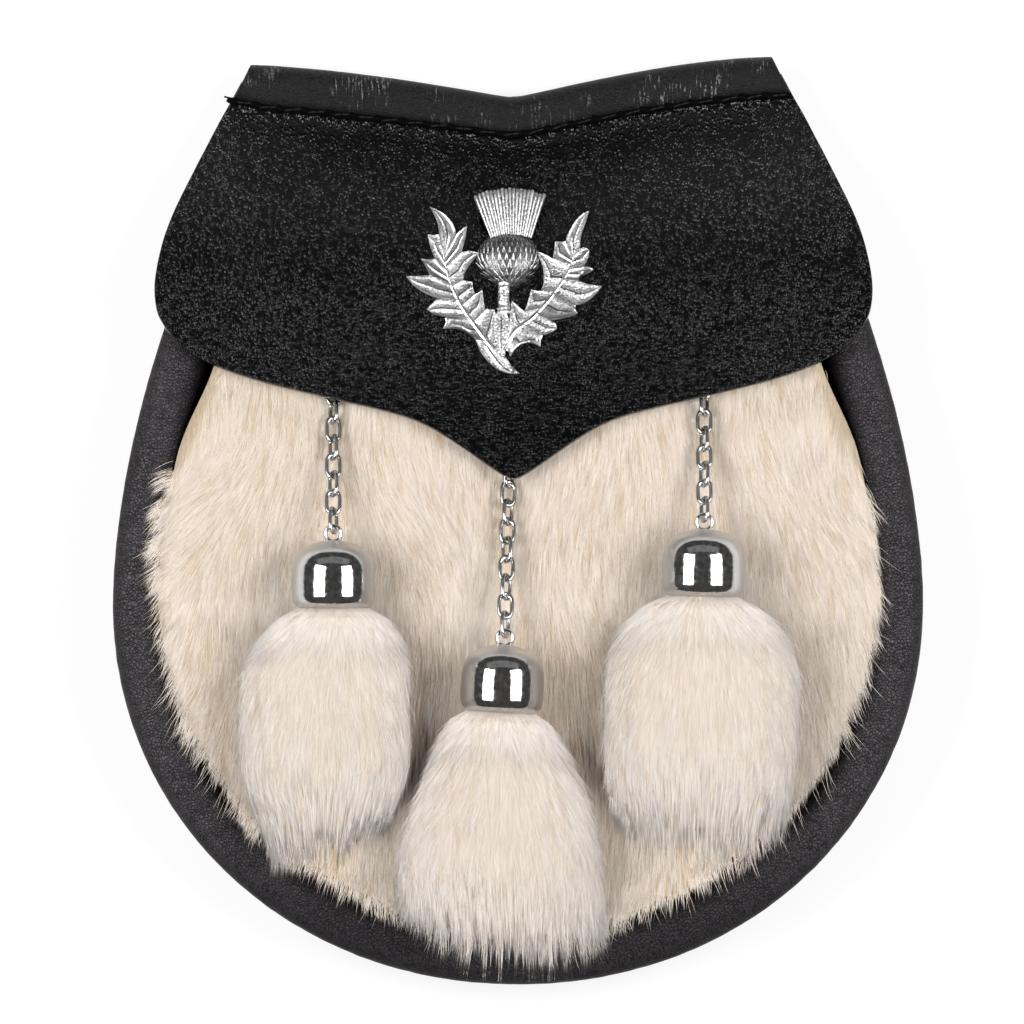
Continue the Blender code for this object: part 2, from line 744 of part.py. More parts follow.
def tassel(drop):
    """A plug that sits in the bell, with a bunch of locks fused to it."""
    random.seed(drop["seed"])
    name = "tassel_" + drop["name"]
    start, along = drop_frame(drop)
    side = Vector((-along.y, along.x, 0.0))
    up = Vector((0, 0, 1))
    length = drop["tassel_length"] * MM
    mouth = start + along * BELL_HEIGHT

    def floor_z(x, y):
        rim_top = rim_axis_z(y) + RIM_HEIGHT / 2 + 1.8 * MM
        share = edge_share(x, y)
        over_rim = ease(share, 0.74, 0.82)
        return mix(hide_top(x, y) + FUR_BED, max(rim_top, hide_top(x, y) + FUR_BED),
                   over_rim) + 2 * GAP

    def body_ring(share, full, around):
        """A section of the tassel: round in the bell, flat below further on."""
        wide = tassel_outline(drop, share) * full
        tall = mix(wide, TASSEL_HALF_HEIGHT * full, ease(share, 0.0, 0.4))
        middle = mouth + along * length * share
        middle += side * drop["lean"] * MM * share
        low = floor_z(middle.x, middle.y)
        if share > 0.1:
            middle.z = mix(middle.z, low + tall, ease(share, 0.1, 0.5))
        ring = []
        for k in range(around):
            turn = 2 * math.pi * k / around
            point = middle + side * math.cos(turn) * wide + up * math.sin(turn) * tall
            if share > 0.05:
                point.z = max(point.z, floor_z(point.x, point.y))
            ring.append(point)
        return ring

    around = 12
    plug = BELL_MOUTH_RADIUS - BELL_WALL - 2 * GAP
    rings = []
    for back, radius in ((BELL_HEIGHT * 0.5, plug * 0.8), (0.0, plug)):
        centre = mouth - along * back
        rings.append([centre + side * math.cos(2 * math.pi * k / around) * radius
                      + up * math.sin(2 * math.pi * k / around) * radius
                      for k in range(around)])
    for share, full in ((0.07, 0.92), (0.25, 0.86), (0.5, 0.84), (0.72, 0.78), (0.86, 0.55)):
        rings.append(body_ring(share, full, around))
    core = add(name, loft(name, rings, closed=True, capped=True), tassel_fur)
    locks = []
    count = 11
    for i in range(count):
        turn = 2 * math.pi * (i + 0.3) / count
        reach = random.uniform(0.93, 1.03)
        path = []
        for share in (0.10, 0.38, 0.70, 1.0):
            at = share * reach
            inward = 0.62 if share < 1.0 else 0.72
            wide = tassel_outline(drop, at) * inward * (1.12 if share > 0.2 else 0.8)
            tall = mix(wide, TASSEL_HALF_HEIGHT * 0.72, ease(at, 0.0, 0.4))
            middle = mouth + along * length * at + side * drop["lean"] * MM * at
            low = floor_z(middle.x, middle.y)
            rise = mix(middle.z, low + TASSEL_HALF_HEIGHT * mix(1.0, 0.62, ease(at, 0.7, 1.0)),
                       ease(at, 0.1, 0.5))
            point = Vector((middle.x, middle.y, rise))
            point += side * math.cos(turn) * wide + up * math.sin(turn) * tall
            path.append(point)
        width, height = 13 * MM, 6.5 * MM
        for point in path:
            point.z = max(point.z - height / 2, floor_z(point.x, point.y))
        locks.append(lock("%s_lock_%02d" % (name, i), path, width, height, tassel_fur))
    fuse(core, locks)


# -------------------------------------------------------------------- metal

def bell(drop):
    """A turned cap with an eye on its dome, open towards its tassel."""
    name = "bell_" + drop["name"]
    start, along = drop_frame(drop)
    shape = [
        {"down": 0.0, "out": 0.0},
        {"down": 0.7 * MM, "out": 4.6 * MM},
        {"down": 2.9 * MM, "out": 8.2 * MM},
        {"down": 6.4 * MM, "out": 10.0 * MM},
        {"down": 13.8 * MM, "out": BELL_RADIUS},
        {"down": BELL_HEIGHT, "out": BELL_MOUTH_RADIUS},
    ]
    outer = [Vector((row["out"], 0, -row["down"])) for row in shape]
    inner = [Vector((max(0.0, point.x - BELL_WALL), 0, min(point.z, -2 * BELL_WALL)))
             for point in (outer[5], outer[3], outer[2])]
    inner[0].z = outer[5].z
    inner.append(Vector((0, 0, -2 * BELL_WALL)))
    profile = outer + inner
    mesh = bpy.data.meshes.new(name)
    mesh.from_pydata(profile, [(i, i + 1) for i in range(len(profile) - 1)], [])
    cap = add(name, mesh, polished)
    turn = cap.modifiers.new("turned", "SCREW")
    turn.steps = turn.render_steps = 14
    turn.use_merge_vertices = True
    turn.merge_threshold = 0.01 * MM
    bpy.context.view_layer.update()
    graph = bpy.context.evaluated_depsgraph_get()
    turned = bpy.data.meshes.new_from_object(cap.evaluated_get(graph))
    cap.modifiers.clear()
    cap.data = turned
    lie_down = Vector((0, 0, -1)).rotation_difference(along).to_matrix().to_4x4()
    turned.transform(Matrix.Translation(start) @ lie_down)
    fuse(cap, [eye(name + "_eye", start - along * EYE_REACH)])


def eye(name, centre):
    """The ring on a bell's dome, lying flat."""
    bpy.ops.mesh.primitive_torus_add(major_segments=12, minor_segments=6,
                                     major_radius=EYE_RADIUS, minor_radius=EYE_WIRE / 2,
                                     location=centre)
    ring = bpy.context.object
    ring.name = name
    ring.data.materials.append(polished)
    ring.data.transform(ring.matrix_world)
    ring.matrix_world = Matrix.Identity(4)
    return ring


def link_mesh(name, length):
    """An oval link in the XY plane, long along Y."""
    bend = (LINK_WIDTH - LINK_WIRE) / 2
    straight = (length - LINK_WIDTH) / 2
    rings = []
    for end in (1, -1):
        for step in range(5):
            turn = math.pi * step / 4
            out = Vector((math.cos(turn), math.sin(turn), 0)) * end
            centre = Vector((0, end * straight, 0)) + out * bend
            rings.append([centre + (out * math.cos(a) + Vector((0, 0, 1)) * math.sin(a))
                          * LINK_WIRE / 2 for a in (2 * math.pi * k / 5 for k in range(5))])
    rings.append(rings[0])
    return loft(name, rings, closed=True)


def chain(drop):
    """Links from a staple below the flap down to the eye of a bell."""
    random.seed(drop["seed"])
    anchor, last_end = chain_line(drop)
    whole = last_end - anchor
    count = 2 * round(whole.length / LINK_PITCH / 2)     # from a flat link to an upright one
    pitch = whole.length / count
    length = pitch + 2 * LINK_WIRE + GAP
    along = whole.normalized()
    mesh = link_mesh("link_" + drop["name"], length)
    tip_to_tip = length - LINK_WIRE
    for i in range(count):
        centre = last_end - along * (tip_to_tip / 2 + (count - 1 - i) * pitch)
        flat = (count - 1 - i) % 2 == 1
        roll = math.radians((0 if flat else 90) + random.uniform(-8, 8))
        turn = Vector((0, -1, 0)).rotation_difference(along).to_matrix().to_4x4()
        placed = Matrix.Translation(centre) @ turn @ Matrix.Rotation(roll, 4, "Y")
        name = "chain_%s_%02d" % (drop["name"], i + 1)
        one = add(name, mesh.copy(), polished)
        one.data.transform(placed)
    first = last_end - along * (tip_to_tip / 2 + (count - 1) * pitch)
    chain_anchor(drop["name"], first - along * (tip_to_tip / 2 - LINK_WIRE - 2 * GAP))


def chain_anchor(side, grip):
    """A wire staple that stands over the end of the first link, one leg inside it."""
    base = hide_top(grip.x, grip.y) + GAP
    half = STAPLE_SPAN / 2
    top = grip.z + LINK_WIRE / 2 + STAPLE_WIRE / 2 + GAP
    shape = [(-half, base), (-half, top - 0.9 * MM), (-half * 0.55, top), (half * 0.55, top),
             (half, top - 0.9 * MM), (half, base)]
    path = [Vector((grip.x, grip.y + half + along, z)) for along, z in shape]
    tube("chain_anchor_" + side, path, STAPLE_WIRE, polished, around=6)


def snap_stud():
    """The hidden closure between the fur and the flap's tip."""
    x, y = STUD_PLACE
    foot = hide_top(x, y - STUD_RADIUS) + GAP
    head = flap_under(x, y + STUD_RADIUS) - GAP
    profile = [      # shares of the stud's height and radius, from the flap down to the fur
        {"up": 1.00, "out": 0.0},
        {"up": 1.00, "out": 0.9},
        {"up": 0.72, "out": 0.9},
        {"up": 0.62, "out": 0.5},
        {"up": 0.38, "out": 0.5},
        {"up": 0.28, "out": 1.0},
        {"up": 0.00, "out": 1.0},
        {"up": 0.00, "out": 0.0},
    ]
    points = [Vector((row["out"] * STUD_RADIUS, 0, mix(foot, head, row["up"]))) for row in profile]
    mesh = bpy.data.meshes.new("snap_stud")
    mesh.from_pydata(points, [(i, i + 1) for i in range(len(points) - 1)], [])
    stud = add("snap_stud", mesh, polished)
    stud.location = (x, y, 0)
    turn = stud.modifiers.new("turned", "SCREW")
    turn.steps = turn.render_steps = 12
    turn.use_merge_vertices = True
    turn.merge_threshold = 0.01 * MM


# -------------------------------------------------------------------- badge

def plate(name, outline, thick, base):
    """A flat outline raised from a base height."""
    rows = [[(x * MM, y * MM, z) for x, y in outline] for z in (base, base + thick)]
    return add(name, loft(name, rows, closed=True, capped=True), cast_metal, tools)


def leaf_outline(lobes, inner_edge):
    outline = []
    for row in lobes:
        outline += [row["lobe"], row["notch"]]
    return outline + inner_edge


def ridge(name, points, wide, tall, base):
    """A raised rib that tapers along a line of points."""
    path = [Vector((x * MM, y * MM, base - 0.2 * MM)) for x, y in points]
    return lock(name, path, wide, tall, cast_metal)


def thistle_badge():
    """Two leaves, a stem, a scaled bulb and a ribbed tuft, cast in one."""
    left = plate("leaf_left", leaf_outline(LEFT_LEAF, [
        (-5.9, -23.8), (-1.5, -27.6), (2.5, -28.4), (0.2, -25.2), (2.2, -22.0), (1.0, -17.5),
        (-4.6, -13.4), (-6.8, -9.0), (-10.2, -4.0), (-7.0, 1.7), (-10.9, 2.2)]),
        BADGE_PLATE, 0.0)
    right = plate("leaf_right", leaf_outline(RIGHT_LEAF, [
        (-1.6, -22.8), (-0.8, -17.0), (4.3, -12.2), (6.0, -8.4), (8.8, -6.2), (7.4, 1.7),
        (10.9, 1.6)]), BADGE_PLATE * 1.07, 0.05 * MM)
    shapes = [right]
    shapes.append(ridge("rib_left", [(-1.5, -25.5), (-8.6, -15.0), (-14.6, -5.5), (-15.2, 0.5),
                                     (-19.0, 11.6)], 2.4 * MM, 1.0 * MM, BADGE_PLATE))
    shapes.append(ridge("rib_right", [(0.3, -21.6), (7.6, -13.2), (13.0, -6.0), (15.3, -0.6),
                                      (19.6, 10.4)], 2.4 * MM, 1.0 * MM, BADGE_PLATE * 1.05))
    shapes.append(plate("stem", [(-3.1, -4.0), (-1.0, -5.0), (0.1, -14.0), (0.8, -20.0),
                                 (-3.6, -20.0), (-3.3, -14.0)], 2.6 * MM, 0.1 * MM))
    fan = []
    ribs = 5
    for step in range(ribs * 2 + 1):
        share = step / (ribs * 2)
        x = mix(-8.9, 9.1, share)
        crest = 17.3 - 1.3 * abs(2 * share - 1) ** 2 - (0.0 if step % 2 else 0.5)
        fan.append((x, crest))
    shapes.append(plate("tuft", [(-4.6, 5.0)] + fan + [(5.6, 5.0)], 2.3 * MM, 0.15 * MM))
    bulb_radius = 7.7 * MM
    sphere = bmesh.new()
    bmesh.ops.create_uvsphere(sphere, u_segments=14, v_segments=8, radius=bulb_radius)
    bmesh.ops.scale(sphere, vec=(1.0, 1.0, 0.52), verts=sphere.verts)
    bmesh.ops.bisect_plane(sphere, geom=sphere.verts[:] + sphere.edges[:] + sphere.faces[:],
                           plane_co=(0, 0, -0.05 * MM), plane_no=(0, 0, -1), clear_outer=True)
    bmesh.ops.holes_fill(sphere, edges=[e for e in sphere.edges if e.is_boundary], sides=0)
    bulb_mesh = bpy.data.meshes.new("bulb")
    sphere.to_mesh(bulb_mesh)
    sphere.free()
    shapes.append(add("bulb", bulb_mesh, cast_metal, tools))
    left.name = "thistle_badge"
    for holder in list(left.users_collection):
        holder.objects.unlink(left)
    parts.objects.link(left)
    badge = fuse(left, shapes)
    x, y = BADGE_MIDDLE
    seat = flap_middle_z(x, y) + LEATHER / 2 + GAP * 1.4
    slope = Euler((-math.atan(FLAP_SLOPE), 0, 0)).to_matrix().to_4x4()
    badge.data.transform(Matrix.Translation((x, y, seat)) @ slope)


# -------------------------------------------------------------------- build

back_panel()
gusset()
rim_roll()
front_panel()
flap()
top_band()
belt_loop("belt_loop_left", -30 * MM)
belt_loop("belt_loop_right", 30 * MM)
fur_panel()
for drop in DROPS:
    bell(drop)
    tassel(drop)
    chain(drop)
snap_stud()
thistle_badge()
bpy.data.collections.remove(tools)
for part in parts.objects:
    part.data.shade_smooth()
    part.data.set_sharp_from_angle(angle=math.radians(40))
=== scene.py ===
"""The looks of a semi-dress sporran pouch that lies on its back.

Metres, +Z up. The front faces +Z, +Y runs to the bound top edge, the floor is z = 0.
"""

import math
import random

import bmesh
import bpy
import numpy as np
from mathutils import Matrix, Vector, noise
from mathutils.bvhtree import BVHTree


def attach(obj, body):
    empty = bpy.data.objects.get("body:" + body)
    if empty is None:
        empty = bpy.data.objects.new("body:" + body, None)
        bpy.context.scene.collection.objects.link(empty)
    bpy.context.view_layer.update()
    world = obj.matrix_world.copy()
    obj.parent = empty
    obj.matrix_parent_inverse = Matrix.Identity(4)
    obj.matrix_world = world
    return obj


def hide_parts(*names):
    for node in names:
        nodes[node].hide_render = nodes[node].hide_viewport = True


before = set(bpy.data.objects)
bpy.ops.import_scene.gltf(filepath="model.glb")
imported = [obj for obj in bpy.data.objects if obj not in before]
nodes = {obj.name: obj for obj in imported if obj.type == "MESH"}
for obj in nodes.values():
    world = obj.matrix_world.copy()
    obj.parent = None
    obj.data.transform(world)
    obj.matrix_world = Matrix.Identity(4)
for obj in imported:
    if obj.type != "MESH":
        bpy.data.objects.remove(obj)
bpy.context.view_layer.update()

MM = 0.001
GAP = 0.3 * MM

# The pouch's outline, as its solids have it
HALF_WIDTH = 99.6 * MM
BELLY_Y = -20.0 * MM
BOTTOM_Y = -113.9 * MM
BOTTOM_ROUNDNESS = 2.05
SIDE_TAPER = 12.4 * MM
TAPER_RISE = 66.8 * MM
TAPER_POWER = 1.75
MOUTH_Y = 75.0 * MM

# Heights of the front
FRONT_EDGE_Z = 25.0 * MM
MOUTH_DROP = 7.0 * MM
CROWN = 3.0 * MM
LEATHER = 2.0 * MM
GUSSET_WALL = 1.8 * MM
HIDE = 1.6 * MM
HIDE_GAP = 0.8 * MM
RIM_WIDTH = 14.0 * MM
RIM_HEIGHT = 9.2 * MM
RIM_SINK = 1.2 * MM
GUSSET_INSET = 6.0 * MM
GUSSET_FOLD = 4.0 * MM
BACK_INSET = 3.0 * MM
BACK_TOP_HALF_WIDTH = 62.0 * MM
BACK_RAISED_Z = 7.3 * MM

# The flap and its binding
FLAP_MID_X = -1.1 * MM
FLAP_SLOPE = 0.21
FLAP_TIP_Z = 37.5 * MM
FLAP_TIP_Y = 10.3 * MM
FLAP_DROOP = 2.6 * MM
FLAP_CREST_Y = 74.0 * MM
FOOT_SOFTNESS = 1.0 * MM
FLAP_CORNER_Y = 47.0 * MM
CORNER_TOP_Y = {-1: 111.9 * MM, 1: 113.9 * MM}
DIP_Y = 103.6 * MM
DIP_POWER = {-1: 1.6, 1: 1.65}
BAND_DEPTH = 10.1 * MM
BAND_DEEPER_LEFT = 0.09
BAND_END_LEFT = 0.15
BAND_WALL = 1.6 * MM
BAND_TUCK = 4.2 * MM
SEAM_DEPTH = 9.35 * MM
STITCH_PITCH = 6.0 * MM
THREAD = 0.72 * MM

FLAP_SIDE = [
    {"y": 118.0, "half_width": 61.0},
    {"y": 105.6, "half_width": 67.9},
    {"y": 86.0, "half_width": 78.1},
    {"y": 72.0, "half_width": 84.7},
    {"y": 60.0, "half_width": 87.7},
    {"y": 52.0, "half_width": 87.5},
    {"y": 47.0, "half_width": 85.2},
]
FLAP_LOWER_EDGE = [
    {"x": 0.0, "y": 10.3},
    {"x": 3.2, "y": 11.6},
    {"x": 15.5, "y": 20.0},
    {"x": 23.0, "y": 24.2},
    {"x": 32.5, "y": 27.2},
    {"x": 60.0, "y": 33.7},
    {"x": 74.5, "y": 38.6},
    {"x": 81.0, "y": 42.4},
    {"x": 85.2, "y": 47.0},
]

# Caps and tassels
BELL_RADIUS = 10.2 * MM
BELL_MOUTH_RADIUS = 9.7 * MM
BELL_HEIGHT = 16.6 * MM
EYE_RADIUS = 1.9 * MM
EYE_WIRE = 1.0 * MM
FUR_BED = 2.2 * MM
PILE = 4.6 * MM
TASSEL_HALF_HEIGHT = 11.5 * MM
PILE_HAIRS = 19000
FRINGE_HAIRS = 5200
TASSEL_HAIRS = 7600
TASSEL_LOCKS = 210
DROPS = [
    {"name": "left", "bell_x": -45.2, "bell_top_y": -4.7, "tilt": 0.0,
     "tassel_width": 42.0, "tassel_length": 64.0, "opens": 0.30, "end_width": 0.60,
     "lean": -2.2, "swing": 0.0, "short_sides": 0.07, "slant": -0.08, "seed": 4},
    {"name": "centre", "bell_x": -3.3, "bell_top_y": -30.2, "tilt": 3.0,
     "tassel_width": 50.0, "tassel_length": 64.5, "opens": 0.66, "end_width": 0.98,
     "lean": 1.6, "swing": 2.4, "short_sides": 0.16, "slant": 0.03, "seed": 11},
    {"name": "right", "bell_x": 45.6, "bell_top_y": -1.9, "tilt": 1.5,
     "tassel_width": 47.5, "tassel_length": 66.0, "opens": 0.28, "end_width": 0.80,
     "lean": 0.6, "swing": 0.0, "short_sides": 0.12, "slant": 0.02, "seed": 23},
]

# The view: straight down, from far enough that heights hardly change the scale
VIEW_MIDDLE = (-1.47 * MM, 2.2 * MM)
VIEW_WIDTH = 250.9 * MM
VIEW_DISTANCE = 10.0
SENSOR = 36.0


# ------------------------------------------------------------------- studio

def camera():
    data = bpy.data.cameras.new("camera")
    data.sensor_width = SENSOR
    data.lens = SENSOR * VIEW_DISTANCE / VIEW_WIDTH
    data.clip_end = 40.0
    made = bpy.data.objects.new("camera", data)
    made.location = (*VIEW_MIDDLE, VIEW_DISTANCE + FRONT_EDGE_Z)
    bpy.context.scene.collection.objects.link(made)
    bpy.context.scene.camera = made


def soft_box(name, place, size, power):
    """An area light that faces the pouch."""
    data = bpy.data.lights.new(name, "AREA")
    data.shape = "RECTANGLE"
    data.size, data.size_y = size
    data.energy = power
    made = bpy.data.objects.new(name, data)
    made.location = place
    made.rotation_euler = (-Vector(place)).to_track_quat("-Z", "Y").to_euler()
    bpy.context.scene.collection.objects.link(made)


def studio():
    """Weak warm light all round, two soft boxes, a dim panel for the metal, a pale floor."""
    world = bpy.data.worlds.new("studio")
    world.use_nodes = True
    fill(world.node_tree, world.node_tree.nodes["Background"],
         {"Color": (1.0, 0.96, 0.92, 1), "Strength": 0.08})
    bpy.context.scene.world = world
    bpy.context.scene.view_settings.view_transform = "Standard"
    soft_box("soft_box_left", (-0.80, 0.06, 1.00), (0.82, 0.66), 12.9)
    soft_box("soft_box_right", (0.78, 0.06, 1.02), (0.78, 0.66), 12.4)
    soft_box("dim_panel_above", (0.0, 0.90, 0.92), (2.20, 0.62), 0.75)
    mesh = bpy.data.meshes.new("floor")
    shape = bmesh.new()
    bmesh.ops.create_grid(shape, x_segments=1, y_segments=1, size=8.0)
    shape.to_mesh(mesh)
    shape.free()
    floor = bpy.data.objects.new("floor", mesh)
    floor.location.z = -0.05 * MM
    bpy.context.scene.collection.objects.link(floor)
    pale, tree, shader = new_material("pale_floor")
    fill(tree, shader, {"Base Color": (0.36, 0.36, 0.36, 1), "Roughness": 0.9,
                        "Emission Color": (1, 1, 1, 1), "Emission Strength": 0.72})
    floor.data.materials.append(pale)


# ---------------------------------------------------------------- materials

PEBBLES_A_METRE = 1300.0


def new_material(name):
    made = bpy.data.materials.new(name)
    made.use_nodes = True
    tree = made.node_tree
    return made, tree, tree.nodes["Principled BSDF"]


def fill(tree, node, sockets):
    """Give a node's sockets their values, or links to other nodes' outputs."""
    for name, value in sockets.items():
        if isinstance(value, bpy.types.NodeSocket):
            tree.links.new(value, node.inputs[name])
        else:
            node.inputs[name].default_value = value


def put(tree, kind, sockets=None, **settings):
    """A new node of a kind, with its settings made and its sockets filled."""
    made = tree.nodes.new("ShaderNode" + kind)
    for name, value in settings.items():
        setattr(made, name, value)
    fill(tree, made, sockets or {})
    return made


def ramp(tree, share, stops):
    """Colours or greys along 0 to 1."""
    made = put(tree, "ValToRGB", {"Fac": share})
    bar = made.color_ramp
    while len(bar.elements) < len(stops):
        bar.elements.new(0.5)
    for element, (place, colour) in zip(bar.elements, stops):
        element.position = place
        element.color = (*colour, 1)
    return made.outputs["Color"]


def spread(tree, value, low, high, to_low=0.0, to_high=1.0):
    """A value's stretch from low to high, drawn out to another stretch and kept within it."""
    return put(tree, "MapRange", {"Value": value, "From Min": low, "From Max": high,
                                  "To Min": to_low, "To Max": to_high}).outputs["Result"]


def blend(tree, share, first, second, mode="MIX"):
    return put(tree, "Mix", {0: share, 6: first, 7: second},
               data_type="RGBA", blend_type=mode).outputs[2]


def maths(tree, operation, first, second):
    return put(tree, "Math", {0: first, 1: second}, operation=operation).outputs[0]


def bump(tree, shader, layers, normal=None):
    """Stack bumps, each a height and how deep it is in metres, on a normal."""
    for height, depth in layers:
        made = put(tree, "Bump", {"Height": height, "Distance": depth, "Strength": 1.0})
        if normal:
            fill(tree, made, {"Normal": normal})
        normal = made.outputs["Normal"]
    fill(tree, shader, {"Normal": normal})


def grain_place(tree, stretch=(1, 1, 1), turn=0.0):
    place = put(tree, "TexCoord").outputs["Object"]
    return put(tree, "Mapping", {"Vector": place, "Scale": stretch,
                                 "Rotation": (0, 0, turn)}).outputs["Vector"]


def mottle(tree, place, scale, detail=2.0, roughness=0.5, distortion=0.0):
    """Smooth random greys; scale is how many of their cells a metre holds."""
    return put(tree, "TexNoise", {"Vector": place, "Scale": scale, "Detail": detail,
                                  "Roughness": roughness, "Distortion": distortion}).outputs["Fac"]


def warped(tree, place, by, scale, amount):
    """A place shifted a little, at random, so that a pattern read there isn't regular."""
    shift = put(tree, "TexNoise", {"Vector": by, "Scale": scale}).outputs["Color"]
    return blend(tree, amount, place, shift, "LINEAR_LIGHT")


def painted(tree, name, output="Fac"):
    """What a piece's mesh keeps at its corners under a name."""
    return put(tree, "Attribute", attribute_name=name).outputs[output]


def leant_normal(tree, share, towards):
    """The surface's own normal, leant by a share towards another way."""
    own = put(tree, "NewGeometry").outputs["Normal"]
    leant = put(tree, "Mix", {0: share, 4: own, 5: towards}, data_type="VECTOR").outputs[1]
    return put(tree, "VectorMath", {0: leant}, operation="NORMALIZE").outputs["Vector"]


def weighed(tree, layers):
    """Greys added up, each by its weight."""
    total = None
    for layer, weight in layers:
        part = maths(tree, "MULTIPLY", layer, weight)
        total = maths(tree, "ADD", total, part) if total else part
    return total


def pebbled_leather():
    """Black leather with a sparse raised grain; only its crests catch the light."""
    made, tree, shader = new_material("pebbled_leather")
    plain = grain_place(tree)
    height_y = put(tree, "SeparateXYZ", {"Vector": plain}).outputs["Y"]
    pebbles = []
    for stretch, turn in (((0.8, 1.25, 1), 0.1), ((1.25, 0.75, 1), 0.55)):
        place = warped(tree, grain_place(tree, stretch, turn), plain, PEBBLES_A_METRE, 0.0003)
        cell = put(tree, "TexVoronoi", {"Vector": place, "Scale": PEBBLES_A_METRE})
        own = put(tree, "SeparateColor", {"Color": cell.outputs["Color"]}).outputs["Red"]
        near = spread(tree, cell.outputs["Distance"], 0.62, 0.0)
        hollow = maths(tree, "POWER", maths(tree, "SUBTRACT", 1.0, near), 2.0)
        dome = maths(tree, "SUBTRACT", 1.0, hollow)
        pebbles.append(maths(tree, "MULTIPLY", dome, spread(tree, own, 0.2, 1.0, 0.04, 1.0)))
    upper = spread(tree, height_y, 20 * MM, 75 * MM)
    crests = put(tree, "Mix", {0: upper, 2: pebbles[0], 3: pebbles[1]},
                 data_type="FLOAT").outputs[0]
    fine = mottle(tree, plain, 3400.0, 3.0, 0.65)
    broad = mottle(tree, plain, 36.0)
    fill(tree, shader, {
        "Base Color": ramp(tree, crests, [(0.0, (0.0004, 0.0003, 0.0004)),
                                          (1.0, (0.0046, 0.0042, 0.0049))]),
        "Roughness": spread(tree, fine, 0.3, 0.7, 0.14, 0.23),
        # Painted sheen: the specular level rises towards the band, so the upper slope, turned away from
        # the lamps, glints as much as the rest.
        "Specular IOR Level": spread(tree, height_y, 66 * MM, 84 * MM, 0.31, 0.64)})
    bump(tree, shader, [(broad, 0.3 * MM), (crests, 0.37 * MM), (fine, 0.014 * MM)])
    return made


def plain_leather(name, dark, light, grain, depth, roughness, sheen, rubbed=0.0, painted_shade_by_mark=False):
    """Soft smooth leather: a plump wrinkled grain, worn patches, and pale rubs from creasing.

    grain is how many cells a metre holds. Shade can be painted by the mark: where it is low the leather
    is painted dark and less glossy, and where it is high it keeps its colour and full sheen as a
    painted highlight.
    """
    made, tree, shader = new_material(name)
    place = grain_place(tree)
    bent = warped(tree, place, place, grain * 0.6, 0.7 / grain)
    cells = put(tree, "TexVoronoi", {"Vector": bent, "Scale": grain}, feature="DISTANCE_TO_EDGE")
    plump = spread(tree, cells.outputs["Distance"], 0.01, 0.24)
    fine = mottle(tree, place, 2600.0, 4.0, 0.7)
    worn = mottle(tree, place, 110.0, 5.0, 0.62)
    folds = mottle(tree, place, grain * 0.35, 3.0, distortion=0.6)
    tone = weighed(tree, ((plump, 0.24), (fine, 0.36), (worn, 0.16), (folds, 0.24)))
    colour = ramp(tree, tone, [(0.43, dark), (0.59, light)])
    if rubbed:
        lines = mottle(tree, grain_place(tree, (1, 0.12, 0.12), 0.03), 1900.0)
        spots = mottle(tree, place, 90.0, 3.0)
        broken = mottle(tree, place, 2400.0)
        rubs = maths(tree, "MULTIPLY", spread(tree, lines, 0.56, 0.64), spread(tree, spots, 0.53, 0.61))
        rubs = maths(tree, "MULTIPLY", rubs, spread(tree, broken, 0.42, 0.56, 0.0, rubbed))
        colour = blend(tree, rubs, colour, (0.26, 0.255, 0.26, 1))
    specular_with_painted_sheen = sheen
    # painted shade and highlight: the mark lowers colour and specular level where less light would fall
    if painted_shade_by_mark:
        crest = painted(tree, "mark")
        colour = blend(tree, crest, (*dark, 1), colour)
        specular_with_painted_sheen = spread(tree, crest, 0.0, 1.0, 0.2 * sheen, sheen)
    fill(tree, shader, {
        "Base Color": colour, "Specular IOR Level": specular_with_painted_sheen,
        "Roughness": spread(tree, fine, 0.3, 0.7, roughness - 0.07, roughness + 0.08)})
    bump(tree, shader, [(folds, depth * 2.0), (plump, depth), (fine, depth * 0.6)])
    return made


def fur_look(name, root, middle, tip, streaks):
    """Hair: shade is the place along it, tint its own tone, coat the way its bed faces; it carries
    painted shade at its roots and in tan streaks between its clumps.
    """
    made, tree, shader = new_material(name)
    # Darker, warmer roots: partly the hair's own colour, partly painted shade for the depth of the fur,
    # whose hairs cast no shadow.
    base = ramp(tree, painted(tree, "shade"), [(0.0, root), (0.45, middle), (1.0, tip)])
    patch = mottle(tree, grain_place(tree, (1, 0.35, 1)), 55.0, 3.0)
    tone = weighed(tree, ((painted(tree, "tint"), 0.55), (patch, 0.45)))
    shadowed = blend(tree, 1.0, base, streaks, "MULTIPLY")
    colour = blend(tree, spread(tree, tone, 0.30, 0.62), shadowed, base)
    # Painted shade: tan streaks, darker, where shade would lie between the clumps.
    between = mottle(tree, grain_place(tree, (1, 0.14, 1)), 520.0, distortion=0.3)
    warm = blend(tree, 1.0, colour, (0.85, 0.775, 0.675, 1), "MULTIPLY")
    fill(tree, shader, {
        "Base Color": blend(tree, spread(tree, between, 0.58, 0.74), colour, warm),
        "Normal": leant_normal(tree, 0.88, painted(tree, "coat", "Vector")),
        "Roughness": 0.55, "Specular IOR Level": 0.28,
        "Sheen Weight": 0.25, "Sheen Roughness": 0.5})
    return made


def undercoat_look(name, dark, light):
    """The matted hair below the loose ones, with fine lines along the way it lies.

    Its flanks are lit nearly as its top is, for hair passes light on.
    """
    made, tree, shader = new_material(name)
    lines = mottle(tree, grain_place(tree, (1, 0.07, 1)), 1500.0, 5.0, 0.7, 0.4)
    patch = mottle(tree, grain_place(tree, (1, 0.4, 1)), 60.0, 4.0)
    tone = weighed(tree, ((lines, 0.6), (patch, 0.4)))
    # The darker, warmer colours are partly the matted hair's own, partly painted shade for the gaps
    # between the loose hairs.
    fill(tree, shader, {"Base Color": ramp(tree, tone, [(0.36, dark), (0.62, light)]),
                        "Roughness": 0.85, "Specular IOR Level": 0.2})
    bump(tree, shader, [(lines, 0.5 * MM)], leant_normal(tree, 0.55, (0.0, 0.0, 1.0)))
    return made


